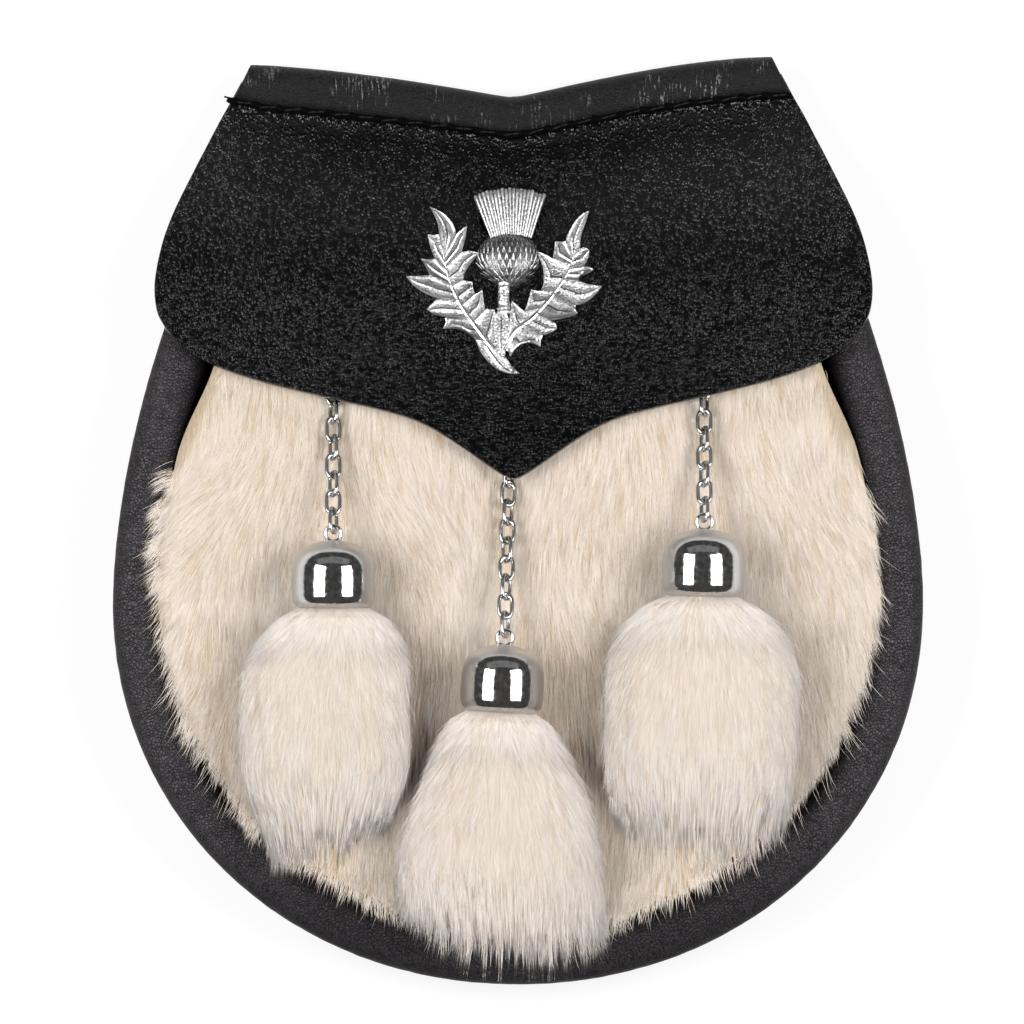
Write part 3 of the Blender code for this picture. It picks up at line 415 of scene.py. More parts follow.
def polished_chrome(name, smoothest, roughest):
    """Plated metal, pitted here and there; where its mark says it turns down it gets a flat grey base
    colour and a rougher finish, a painted grey reflection on its sides.
    """
    made, tree, shader = new_material(name)
    place = grain_place(tree)
    pits = mottle(tree, place, 900.0, 4.0)
    ripples = mottle(tree, place, 160.0, 1.0)
    painted_grey_reflection = painted(tree, "mark")
    bright = ramp(tree, pits, [(0.35, (0.46, 0.47, 0.48)), (0.6, (0.66, 0.66, 0.66))])
    smooth = spread(tree, pits, 0.4, 0.75, smoothest, roughest)
    fill(tree, shader, {
        "Base Color": blend(tree, painted_grey_reflection, bright, (0.66, 0.655, 0.655, 1)),
        "Roughness": maths(tree, "ADD", smooth, maths(tree, "MULTIPLY", painted_grey_reflection, 0.26)),
        "Metallic": 1.0})
    bump(tree, shader, [(ripples, 0.04 * MM), (pits, 0.010 * MM)])
    return made


def cast_metal():
    """Bright cast metal, dark in its hollows, with a grit where it was tooled."""
    made, tree, shader = new_material("cast_metal")
    place = grain_place(tree)
    grit = mottle(tree, place, 1900.0, 3.0)
    broad = mottle(tree, place, 420.0)
    bright = ramp(tree, grit, [(0.34, (0.34, 0.34, 0.35)), (0.46, (0.76, 0.76, 0.76)),
                               (0.6, (0.90, 0.90, 0.90))])
    fill(tree, shader, {
        "Base Color": blend(tree, painted(tree, "proud"), (0.06, 0.06, 0.063, 1), bright),
        "Roughness": spread(tree, broad, 0.3, 0.7, 0.27, 0.42), "Metallic": 1.0})
    worked = maths(tree, "MULTIPLY", spread(tree, grit, 0.35, 0.65), painted(tree, "tooled"))
    bump(tree, shader, [(broad, 0.06 * MM), (worked, 0.075 * MM)])
    return made


def waxed_thread():
    made, tree, shader = new_material("waxed_thread")
    place = grain_place(tree, (1, 1, 1), 0.6)
    twist = put(tree, "TexWave", {"Vector": place, "Scale": 900.0, "Distortion": 0.5},
                bands_direction="DIAGONAL").outputs["Fac"]
    fill(tree, shader, {
        "Base Color": ramp(tree, twist, [(0.0, (0.003, 0.003, 0.003)), (1.0, (0.014, 0.013, 0.013))]),
        "Roughness": 0.5, "Specular IOR Level": 0.2})
    bump(tree, shader, [(twist, 0.08 * MM)])
    return made


# ------------------------------------------------------------ small helpers

def mix(a, b, share):
    return a + (b - a) * share


def ease(value, start, end):
    """0 before start, 1 after end, a smooth step between; for numbers and arrays."""
    share = np.clip((np.asarray(value, float) - start) / (end - start), 0.0, 1.0)
    return share * share * (3.0 - 2.0 * share)


def in_mm(row, *names):
    return [row[name] * MM for name in names]


def resample(points, count):
    """Count points at even distances along a line of points."""
    lengths = [0.0]
    for before, after in zip(points, points[1:]):
        lengths.append(lengths[-1] + (after - before).length)
    spaced = []
    piece = 0
    for step in range(count):
        target = lengths[-1] * step / (count - 1)
        while piece < len(points) - 2 and lengths[piece + 1] < target:
            piece += 1
        span = max(lengths[piece + 1] - lengths[piece], 1e-9)
        spaced.append(points[piece].lerp(points[piece + 1], (target - lengths[piece]) / span))
    return spaced


def smooth_line(points, steps=16):
    """A Catmull-Rom curve through the points."""
    ends = [points[0] * 2 - points[1]] + list(points) + [points[-1] * 2 - points[-2]]
    curve = []
    for a, b, c, d in zip(ends, ends[1:], ends[2:], ends[3:]):
        for step in range(steps):
            t = step / steps
            curve.append(0.5 * (2 * b + (c - a) * t + (2 * a - 5 * b + 4 * c - d) * t * t
                                + (3 * b - a - 3 * c + d) * t ** 3))
    curve.append(points[-1])
    return curve


def moved_inwards(points, distance):
    """A line of points moved to its left-hand side by a distance."""
    moved = []
    for i, point in enumerate(points):
        along = points[min(i + 1, len(points) - 1)] - points[max(i - 1, 0)]
        moved.append(point + Vector((-along.y, along.x)).normalized() * distance)
    return moved


def finished(name, shape, look, stands_for=()):
    """A piece from a bmesh, riding on the pouch, smooth shaded."""
    mesh = bpy.data.meshes.new(name)
    shape.to_mesh(mesh)
    shape.free()
    return placed(name, mesh, look, stands_for)


def placed(name, mesh, look, stands_for=()):
    made = bpy.data.objects.new(name, mesh)
    made.data.materials.append(look)
    bpy.context.scene.collection.objects.link(made)
    made.data.shade_smooth()
    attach(made, "root")
    if stands_for:
        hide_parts(*stands_for)
    return made


def thicken(piece, wall, edge=0.0):
    """Give a sheet its wall, and round its edges."""
    wrap = piece.modifiers.new("wall", "SOLIDIFY")
    wrap.thickness = wall
    wrap.offset = 0.0
    wrap.use_even_offset = True
    if edge:
        cut = piece.modifiers.new("rounded", "BEVEL")
        cut.width = edge
        cut.segments = 3
        cut.limit_method = "ANGLE"
        cut.angle_limit = math.radians(50)


def woven_grid(across, down, place, closed=False, mark=None):
    """A grid whose corners are moved from (u, v), both 0 to 1, to their places.

    What mark(u, v) gives is kept at each corner for the material, as its "mark".
    """
    shape = bmesh.new()
    bmesh.ops.create_grid(shape, x_segments=across, y_segments=down, size=0.5)
    kept = shape.verts.layers.float.new("mark") if mark else None
    for vert in shape.verts:
        u, v = vert.co.x + 0.5, vert.co.y + 0.5
        if mark:
            vert[kept] = mark(u, v)
        vert.co = place(u, v)
    if closed:
        bmesh.ops.remove_doubles(shape, verts=shape.verts, dist=0.002 * MM)
    bmesh.ops.recalc_face_normals(shape, faces=shape.faces)
    return shape


def closed_body(across, down, place, mark=None):
    """A body woven round and round, with its two ends filled."""
    shape = woven_grid(across, down, place, closed=True, mark=mark)
    ends = [edge for edge in shape.edges if edge.is_boundary]
    if ends:
        bmesh.ops.holes_fill(shape, edges=ends, sides=0)
    bmesh.ops.recalc_face_normals(shape, faces=shape.faces)
    return shape


# --------------------------------------------------------- the pouch's shape

def half_width(y):
    if y >= BELLY_Y:
        return HALF_WIDTH - SIDE_TAPER * ((y - BELLY_Y) / TAPER_RISE) ** TAPER_POWER
    depth = min(1.0, (BELLY_Y - y) / (BELLY_Y - BOTTOM_Y))
    return HALF_WIDTH * (1.0 - depth ** BOTTOM_ROUNDNESS) ** (1.0 / BOTTOM_ROUNDNESS)


def round_bottom(top, inset, count):
    """The edge from its left end at a height, round the bottom, to its right end."""
    steps = 90
    left = []
    for step in range(steps):
        y = mix(top, BELLY_Y, step / steps)
        left.append(Vector((-half_width(y), y)))
    for step in range(steps + 1):
        turn = 0.5 * math.pi * step / steps
        out = math.cos(turn) ** (2.0 / BOTTOM_ROUNDNESS) if step < steps else 0.0
        down = math.sin(turn) ** (2.0 / BOTTOM_ROUNDNESS)
        left.append(Vector((-HALF_WIDTH * out, mix(BELLY_Y, BOTTOM_Y, down))))
    right = [Vector((-point.x, point.y)) for point in reversed(left[:-1])]
    return moved_inwards(resample(left + right, count), inset)


def closed_edge(top, inset, count):
    """The round edge with a straight run across its top."""
    side_lean = 0.31
    edge = round_bottom(top + side_lean * inset, inset, count)
    across = count // 4
    left, right = edge[0], edge[-1]
    left.y = right.y = top
    return edge + [right.lerp(left, step / across) for step in range(1, across)]


def edge_share(x, y):
    """0 in the middle of the front and 1 at its outline."""
    near, far = 0.0, 3.0
    above_mouth = 12 * MM
    for _ in range(24):
        share = 0.5 * (near + far)
        px = x * share
        py = mix(BELLY_Y, y, share)
        inside = BOTTOM_Y < py < MOUTH_Y + above_mouth and abs(px) < half_width(py)
        near, far = (share, far) if inside else (near, share)
    return min(1.0, 1.0 / max(near, 0.001))


def front_edge_z(y):
    return FRONT_EDGE_Z - MOUTH_DROP * max(0.0, y / MOUTH_Y) ** 1.5


def front_top(x, y):
    return front_edge_z(y) + CROWN * (1.0 - edge_share(x, y) ** 2)


def hide_top(x, y):
    return front_top(x, y) + HIDE_GAP + HIDE


def rim_axis_z(y):
    return front_edge_z(y) - RIM_SINK


def back_under(x, y):
    side = ease(y, 45 * MM, 85 * MM)
    middle = ease(y, -44 * MM, -12 * MM)
    return BACK_RAISED_Z * mix(middle, side, ease(abs(x), 48 * MM, 68 * MM))


flap_side_line = smooth_line([Vector(in_mm(row, "half_width", "y")) for row in FLAP_SIDE])
flap_lower_line = smooth_line([Vector(in_mm(row, "x", "y")) for row in FLAP_LOWER_EDGE])
flap_lower_spaced = resample(flap_lower_line, 61)


def flap_half_width(y):
    for above, below in zip(flap_side_line, flap_side_line[1:]):
        if above.y >= y >= below.y:
            return mix(above.x, below.x, (above.y - y) / (above.y - below.y))
    return flap_side_line[0 if y > 0.1 else -1].x


def top_edge_y(u):
    side = -1 if u < 0 else 1
    from_dip = math.hypot(min(1.0, abs(u)), 0.035)
    corner = CORNER_TOP_Y[side]
    return corner - (corner - DIP_Y) * max(0.0, 1.0 - from_dip) ** DIP_POWER[side]


def band_deeper(u):
    left = BAND_DEEPER_LEFT * float(ease(-u, 0.05, 0.55))
    return 1.0 + left - BAND_END_LEFT * float(ease(-u, 0.84, 1.0))


def band_lower_y(x):
    u = max(-1.0, min(1.0, (x - FLAP_MID_X) / flap_half_width(100 * MM)))
    return top_edge_y(u) - BAND_DEPTH * band_deeper(u)


def flap_bound_z():
    return BACK_RAISED_Z + LEATHER + GAP + LEATHER / 2


def flap_middle_z(x, y):
    """A sloping plane that bends softly, over its crest, down to the bound edge."""
    out = abs(x - FLAP_MID_X)
    droop = FLAP_DROOP * float(ease(out, 40 * MM, 92 * MM))
    tip_z = FLAP_TIP_Z - droop
    plane = tip_z - FLAP_SLOPE * (y - FLAP_TIP_Y)
    crest = tip_z - FLAP_SLOPE * (FLAP_CREST_Y - FLAP_TIP_Y)
    foot_y = band_lower_y(x) - 1.8 * MM
    steepness = (crest - flap_bound_z()) / (foot_y - FLAP_CREST_Y)
    run = FOOT_SOFTNESS * math.log1p(math.exp((foot_y - y) / FOOT_SOFTNESS))
    fall = flap_bound_z() + steepness * run
    softness = float(mix(2.4 * MM, 1.2 * MM, ease(out, 35 * MM, 60 * MM)))
    return min(plane, fall) - softness * math.log1p(math.exp(-abs(plane - fall) / softness))


# ------------------------------------------------------------ leather pieces

def wrinkle(x, y, z, size, seed):
    """Smooth pseudo-random relief, about -1 to 1, for features of a size in metres."""
    return noise.noise(Vector((x / size, y / size, z / size + seed)))


def rim_roll(look):
    """The padded roll round the front, lightly wrinkled across its bends, with painted highlight and
    shade.
    """
    path = round_bottom(MOUTH_Y, RIM_WIDTH / 2, 461)
    length = sum((b - a).length for a, b in zip(path, path[1:]))
    flat_end, end_length = 0.72, 40 * MM

    def place(u, v):
        at = u * (len(path) - 1)
        i = min(int(at), len(path) - 2)
        point = path[i].lerp(path[i + 1], at - i)
        along = (path[min(i + 2, len(path) - 1)] - path[max(i - 1, 0)]).normalized()
        inwards = Vector((-along.y, along.x, 0.0))
        from_end = min(u, 1.0 - u) * length
        full = float(mix(flat_end, 1.0, ease(from_end, 0.0, end_length)))
        turn = 2 * math.pi * (v % 1.0)
        s = u * length
        across = 0.20 * MM * wrinkle(s, 0.006 * math.cos(turn), 0.006 * math.sin(turn), 3.0 * MM, 3)
        lumps = 0.16 * MM * wrinkle(s, 0.006 * math.cos(turn), 0.006 * math.sin(turn), 15 * MM, 9)
        relief = (across + lumps) * (0.3 + 0.7 * math.sin(turn) ** 2)
        out = 1.0 + (relief - 0.2 * MM) / (RIM_HEIGHT / 2)
        return (Vector((point.x, point.y, rim_axis_z(point.y)))
                + inwards * math.cos(turn) * (RIM_WIDTH / 2) * out
                + Vector((0, 0, math.sin(turn) * RIM_HEIGHT / 2 * full * out)))

    # Painted highlight and shade: the mark is high on the roll's crown, which keeps its colour and
    # sheen, and falls away over its flanks, its underside and towards the bottom of the pouch, which
    # are painted darker.
    def crest(u, v):
        turn = 2 * math.pi * v
        inwards = math.cos(turn)
        if math.sin(turn) <= 0:
            return 0.0
        low = float(ease(-path[round(u * (len(path) - 1))].y, 62 * MM, 100 * MM))
        return float(ease(1.0 - abs(inwards + 0.2), 0.0, 0.7)) * mix(1.0, 0.48, low)

    shape = closed_body(480, 30, place, crest)
    piece = finished("rim_roll", shape, look, stands_for=("rim_roll",))


def disc(edge, rings, height):
    """A sheet inside a closed edge, woven from rings that shrink to its middle."""
    middle = Vector((0.0, BELLY_Y))
    count = len(edge)

    def place(u, v):
        at = (u * count) % count
        i = int(round(at)) % count
        flat = middle.lerp(edge[i], v)
        return Vector((flat.x, flat.y, height(flat.x, flat.y)))

    return woven_grid(count, rings, place, closed=True)


def back_edge(count):
    shoulder = 60 * MM
    edge = round_bottom(shoulder, BACK_INSET, count)
    across = 60
    top = []
    for step in range(across + 1):
        u = 1.0 - 2.0 * step / across
        top.append(Vector((FLAP_MID_X + u * BACK_TOP_HALF_WIDTH, top_edge_y(u) - BAND_TUCK)))
    sides = [step / 16 for step in range(1, 16)]
    right = [edge[-1].lerp(top[0], share) for share in sides]
    left = [top[-1].lerp(edge[0], share) for share in sides]
    return edge + right + top + left


def back_and_front(look):
    back = disc(back_edge(150), 12, lambda x, y: float(back_under(x, y)) + LEATHER / 2)
    thicken(finished("back_panel", back, look, stands_for=("back_panel",)),
            LEATHER, 0.5 * MM)
    inset = RIM_WIDTH + 3 * GAP
    front = disc(closed_edge(MOUTH_Y, inset, 110), 8, lambda x, y: front_top(x, y) - LEATHER / 2)
    thicken(finished("front_panel", front, look, stands_for=("front_panel",)),
            LEATHER, 0.4 * MM)


def gusset(look):
    """The wall between the back and the rim, folded inwards once."""
    across = 200
    outer = round_bottom(MOUTH_Y, GUSSET_INSET, across + 1)
    inner = round_bottom(MOUTH_Y, GUSSET_INSET + GUSSET_FOLD, across + 1)

    def place(u, v):
        i = round(u * across)
        fold = math.sin(math.pi * v) ** 2
        at = outer[i].lerp(inner[i], fold)
        low = float(back_under(outer[i].x, outer[i].y)) + LEATHER + 2 * GAP
        low += 0.8 * MM * float(ease(outer[i].y, 25 * MM, 45 * MM))
        high = rim_axis_z(outer[i].y) - RIM_HEIGHT / 2 - 2 * GAP
        rumple = 0.5 * MM * wrinkle(at.x, at.y, v * 20 * MM, 9 * MM, 5) * math.sin(math.pi * v)
        towards = (inner[i] - outer[i]).normalized() * rumple
        return Vector((at.x + towards.x, at.y + towards.y, mix(low, high, v)))

    shape = woven_grid(across, 10, place)
    piece = finished("gusset", shape, look, stands_for=("gusset",))
    thicken(piece, GUSSET_WALL, 0.4 * MM)


def flap_place(u, v):
    """Plan place of a point on the flap: u across from -1 to 1, v from top to lower edge."""
    def top_point(at):
        y = top_edge_y(at) - BAND_TUCK
        return Vector((at * flap_half_width(y), y))

    def low_point(at):
        reach = abs(at) * (len(flap_lower_spaced) - 1)
        i = min(int(reach), len(flap_lower_spaced) - 2)
        point = flap_lower_spaced[i].lerp(flap_lower_spaced[i + 1], reach - i)
        return Vector((math.copysign(point.x, at), point.y))

    flat = top_point(u).lerp(low_point(u), v)
    for side, weight in ((-1, (1 - u) / 2), (1, (1 + u) / 2)):
        y = mix(top_edge_y(side) - BAND_TUCK, FLAP_CORNER_Y, v)
        bulge = Vector((side * flap_half_width(y), y))
        straight = top_point(side).lerp(low_point(side), v)
        flat += (bulge - straight) * weight
    return Vector((flat.x + FLAP_MID_X, flat.y))


def flap(look):
    """The pebbled flap, with a gentle waviness and a slightly thinned edge."""
    def place(u, v):
        at = flap_place(2 * u - 1, 1 - v)
        wave = 0.25 * MM * wrinkle(at.x, at.y, 0, 16 * MM, 2)
        wave += 0.09 * MM * wrinkle(at.x, at.y, 0, 4.5 * MM, 7)
        return Vector((at.x, at.y, flap_middle_z(at.x, at.y) + wave))

    piece = finished("flap", woven_grid(160, 100, place), look,
                     stands_for=("flap",))
    thicken(piece, LEATHER, 0.7 * MM)


def band_section():
    """Depth below the top edge and height, from the flap's side round to the back's."""
    low_z = BACK_RAISED_Z - GAP - BAND_WALL / 2
    high_z = flap_bound_z() + LEATHER / 2 + GAP + BAND_WALL / 2
    bend = (high_z - low_z) / 2
    bend_depth = bend + BAND_WALL / 2
    section = [Vector((mix(BAND_DEPTH, bend_depth, step / 8), high_z)) for step in range(8)]
    for step in range(13):
        turn = math.pi * step / 12
        section.append(Vector((bend_depth - bend * math.sin(turn),
                               low_z + bend * (1 + math.cos(turn)))))
    section.append(Vector((BAND_DEPTH - 1.5 * MM, low_z)))
    return section


def band_point(u, depth, z):
    y = top_edge_y(u) - depth * band_deeper(u)
    return Vector((FLAP_MID_X + u * (flap_half_width(y) - 0.2 * MM), y, z))


def top_band(look):
    """The leather strip folded over the top edge, creased where it bends, and painted darker along its
    seam.
    """
    section = resample(band_section(), 33)

    def place(u, v):
        depth, z = section[round(v * 32)]
        point = band_point(2 * u - 1, depth, z)
        crease = wrinkle(point.x, point.y * 0.3, point.z * 0.3, 2.6 * MM, 4)
        lump = wrinkle(point.x, point.y, point.z, 9 * MM, 8)
        on_top = z > BACK_RAISED_Z + LEATHER
        outwards = Vector((0, 0.4, 1.0 if on_top else -0.6)).normalized()
        pulled = 0.45 * math.exp(-((depth - SEAM_DEPTH) / (1.1 * MM)) ** 2) if on_top else 0.0
        return point + outwards * (0.10 * crease + 0.12 * lump - pulled) * MM

    # Painted shade along the seam: the mark falls just above the seam, where the band is painted darker
    # and less glossy, as if the groove held shade.
    def painted_seam_shade_mark(u, v):
        depth, z = section[round(v * 32)]
        by_seam = z > BACK_RAISED_Z + LEATHER and depth > SEAM_DEPTH - 2.2 * MM
        return 1.0 - float(ease(depth, SEAM_DEPTH - 2.2 * MM, SEAM_DEPTH - 0.3 * MM)) * by_seam

    shape = woven_grid(180, 32, place, mark=painted_seam_shade_mark)
    piece = finished("top_band", shape, look, stands_for=("top_band",))
    thicken(piece, BAND_WALL, 0.45 * MM)


def capsule(shape, start, end, radius):
    """A rounded rod between two points, added to a bmesh."""
    length = (end - start).length
    made = bmesh.ops.create_uvsphere(shape, u_segments=8, v_segments=6, radius=radius)["verts"]
    turn = Vector((0, 0, 1)).rotation_difference(end - start).to_matrix()
    straight = max(0.0, length / 2 - radius)
    for vert in made:
        if abs(vert.co.z) > 1e-6:
            vert.co.z += math.copysign(straight, vert.co.z)
        vert.co = turn @ vert.co + (start + end) / 2
    return made


def seam_line():
    """The seam's path on the band, close to its lower edge."""
    high_z = flap_bound_z() + LEATHER / 2 + GAP + BAND_WALL
    return [band_point(2 * step / 400 - 1, SEAM_DEPTH, high_z) for step in range(401)]


def seam_stitches(thread, holes_and_painted_groove_shadow):
    """Waxed stitches that dip into their holes, a near-black sheet over the holes and the line they are
    pulled into, and a knot; the sheet is the holes' own darkness and painted shadow along the groove.
    """
    random.seed(5)
    line = seam_line()
    length = sum((b - a).length for a, b in zip(line, line[1:]))
    count = int(length / STITCH_PITCH)
    ends = resample(line, count * 10 + 1)
    stitches, pressed = bmesh.new(), bmesh.new()
    sink = Vector((0, 0, -0.25 * MM))
    for i in range(count):
        hole_at, start, end = ends[i * 10], ends[i * 10 + 1], ends[i * 10 + 9]
        slant = Vector((0, random.uniform(0.15, 0.5) * MM, 0))
        middle = (start + end) / 2
        capsule(stitches, start - slant + sink, middle, THREAD / 2)
        capsule(stitches, middle, end + slant * 0.6 + sink, THREAD / 2)
        # Painted shadow: a flattened near-black rod along the groove between holes; the wider rods are
        # the dark stitch holes.
        flat = capsule(pressed, hole_at, ends[i * 10 + 10], random.uniform(0.48, 0.62) * MM)
        half = Vector((random.uniform(0.9, 1.4), random.uniform(-0.5, -0.1), 0)) * MM
        hole = capsule(pressed, hole_at - half, hole_at + half, random.uniform(0.68, 0.88) * MM)
        bmesh.ops.transform(pressed, verts=flat + hole, matrix=Matrix.Translation((0, 0, hole_at.z))
                            @ Matrix.Diagonal((1, 1, 0.3, 1)) @ Matrix.Translation((0, 0, -hole_at.z)))
    left_end = line[0] + Vector((0.6, 0.3, -0.2)) * MM
    capsule(stitches, left_end, left_end + Vector((-2.6, 0.7, 0.2)) * MM, THREAD * 0.36)
    capsule(stitches, left_end + Vector((-1.2, 0.6, 0)) * MM,
            left_end + Vector((-2.0, -0.6, 0.1)) * MM, THREAD * 0.34)
    finished("seam_stitches", stitches, thread)
    finished("seam_line", pressed, holes_and_painted_groove_shadow)


# -------------------------------------------------------------------- metal

def drop_frame(drop):
    """Where a cap's dome top is, and the way it points down the tassel."""
    x, y = in_mm(drop, "bell_x", "bell_top_y")
    axis_z = hide_top(x, y - BELL_HEIGHT) + FUR_BED + GAP + BELL_RADIUS
    tilt = math.radians(drop["tilt"])
    return Vector((x, y, axis_z)), Vector((math.sin(-tilt), -math.cos(tilt), 0.0))


def ring_shape(radius, wire, steps=40, around=12):
    """A ring in the XY plane, spun from a circle."""
    shape = bmesh.new()
    made = bmesh.ops.create_circle(shape, segments=around, radius=wire / 2)["verts"]
    bmesh.ops.rotate(shape, verts=made, cent=(0, 0, 0), matrix=Matrix.Rotation(math.pi / 2, 3, "X"))
    bmesh.ops.translate(shape, verts=made, vec=(radius, 0, 0))
    bmesh.ops.spin(shape, geom=made + shape.edges[:], cent=(0, 0, 0), axis=(0, 0, 1),
                   angle=2 * math.pi, steps=steps, use_merge=True)
    bmesh.ops.remove_doubles(shape, verts=shape.verts, dist=0.001 * MM)
    bmesh.ops.recalc_face_normals(shape, faces=shape.faces)
    return shape


def bell(drop, look):
    """A spun cap: domed, straight, a little tucked in at its mouth, with an eye on top."""
    start, along = drop_frame(drop)
    outer = smooth_line([Vector((out * MM, 0, -down * MM)) for down, out in (
        (0.0, 0.0), (0.12, 2.2), (0.75, 4.7), (1.7, 6.8), (3.2, 8.6), (5.4, 9.75), (8.0, 10.15),
        (12.4, 10.2), (14.0, 10.1), (15.2, 9.7), (16.1, 9.0), (16.6, 8.3))], 3)
    lip = [Vector((8.0 * MM, 0, -16.70 * MM)), Vector((7.8 * MM, 0, -16.50 * MM))]
    inner = [Vector((out * MM, 0, -down * MM)) for down, out in (
        (15.8, 8.2), (14.8, 9.0), (13.0, 9.3), (8.0, 9.3), (5.4, 8.9), (3.2, 7.4), (2.0, 5.0),
        (1.6, 0.0))]
    shape = bmesh.new()
    verts = [shape.verts.new(point) for point in outer + lip + inner]
    for before, after in zip(verts, verts[1:]):
        shape.edges.new((before, after))
    bmesh.ops.spin(shape, geom=shape.verts[:] + shape.edges[:], cent=(0, 0, 0), axis=(0, 0, 1),
                   angle=2 * math.pi, steps=96, use_merge=True)
    bmesh.ops.remove_doubles(shape, verts=shape.verts, dist=0.001 * MM)
    bmesh.ops.recalc_face_normals(shape, faces=shape.faces)
    lie_down = Vector((0, 0, -1)).rotation_difference(along).to_matrix().to_4x4()
    bmesh.ops.transform(shape, matrix=Matrix.Translation(start) @ lie_down, verts=shape.verts)
    eye = ring_shape(EYE_RADIUS, EYE_WIRE)
    reach = EYE_RADIUS - 0.3 * EYE_WIRE
    bmesh.ops.translate(eye, verts=eye.verts, vec=start - along * reach)
    eye_mesh = bpy.data.meshes.new("eye")
    eye.to_mesh(eye_mesh)
    eye.free()
    shape.from_mesh(eye_mesh)
    bpy.data.meshes.remove(eye_mesh)
    name = "bell_" + drop["name"]
    piece = finished(name, shape, look, stands_for=(name,))
    # Painted reflection: where the cap's surface turns sideways or down, the chrome is given its flat
    # grey, rougher finish.
    turned_down_painted_grey = [1.0 - float(ease(vert.normal.z, 0.64, 0.74)) for vert in piece.data.vertices]
    piece.data.attributes.new("mark", "FLOAT", "POINT").data.foreach_set("value", turned_down_painted_grey)


def solid_frame(node):
    """Middle, the long, wide and thin directions, and the size along each, of a solid."""
    points = np.array([vert.co for vert in nodes[node].data.vertices])
    unique = np.unique(np.round(points, 7), axis=0)
    middle = unique.mean(0)
    _, _, ways = np.linalg.svd(unique - middle)
    size = [np.ptp((unique - middle) @ way) for way in ways]
    return Vector(middle), [Vector(way) for way in ways], size


# A link's wire against its solid's flat-sided one, and how far links lean, in degrees
LINK_FULLNESS = 1.08
ON_EDGE_LEAN = 34
FLAT_LEAN = 9


def link(node, look):
    """A smooth oval link in place of a chain's solid."""
    middle, (long_way, wide_way, _), (length, width, wire) = solid_frame(node)
    bend = (width - wire) / 2
    shape = ring_shape(bend, wire * LINK_FULLNESS, steps=32, around=10)
    straight = (length - width) / 2
    for vert in shape.verts:
        rise = mix(min(1.0, abs(vert.co.y) / (0.19 * bend)), abs(vert.co.y) / bend, 0.35)
        vert.co.y += math.copysign(straight * min(1.0, rise), vert.co.y)
    lean = math.radians(ON_EDGE_LEAN if abs(wide_way.z) > 0.7 else FLAT_LEAN)
    wide_way = Matrix.Rotation(lean, 3, long_way) @ wide_way
    thin_way = wide_way.cross(long_way)
    turn = Matrix((wide_way, long_way, thin_way)).transposed()
    if turn.determinant() < 0:
        turn = Matrix((wide_way, long_way, -thin_way)).transposed()
    bmesh.ops.transform(shape, matrix=Matrix.Translation(middle) @ turn.to_4x4(), verts=shape.verts)
    finished(node, shape, look, stands_for=(node,))


# -------------------------------------------------------------------- badge
# Places are millimetres from the middle of the thistle's bulb.

BADGE_MIDDLE = (-2.4 * MM, 63.9 * MM)
BADGE_LIFT = 0.42 * MM
LEAF_EDGE_Z = 1.15 * MM
LEAF_RIB_Z = 1.95 * MM
LEFT_RIB = [(-2.9, -23.1), (-5.7, -19.5), (-10.4, -13.2), (-13.0, -8.6), (-14.9, -3.3), (-15.6, 0.5)]
RIGHT_RIB = [(-0.6, -22.5), (1.2, -18.2), (6.2, -14.2), (11.1, -8.6), (14.8, -2.9), (15.8, 0.4)]

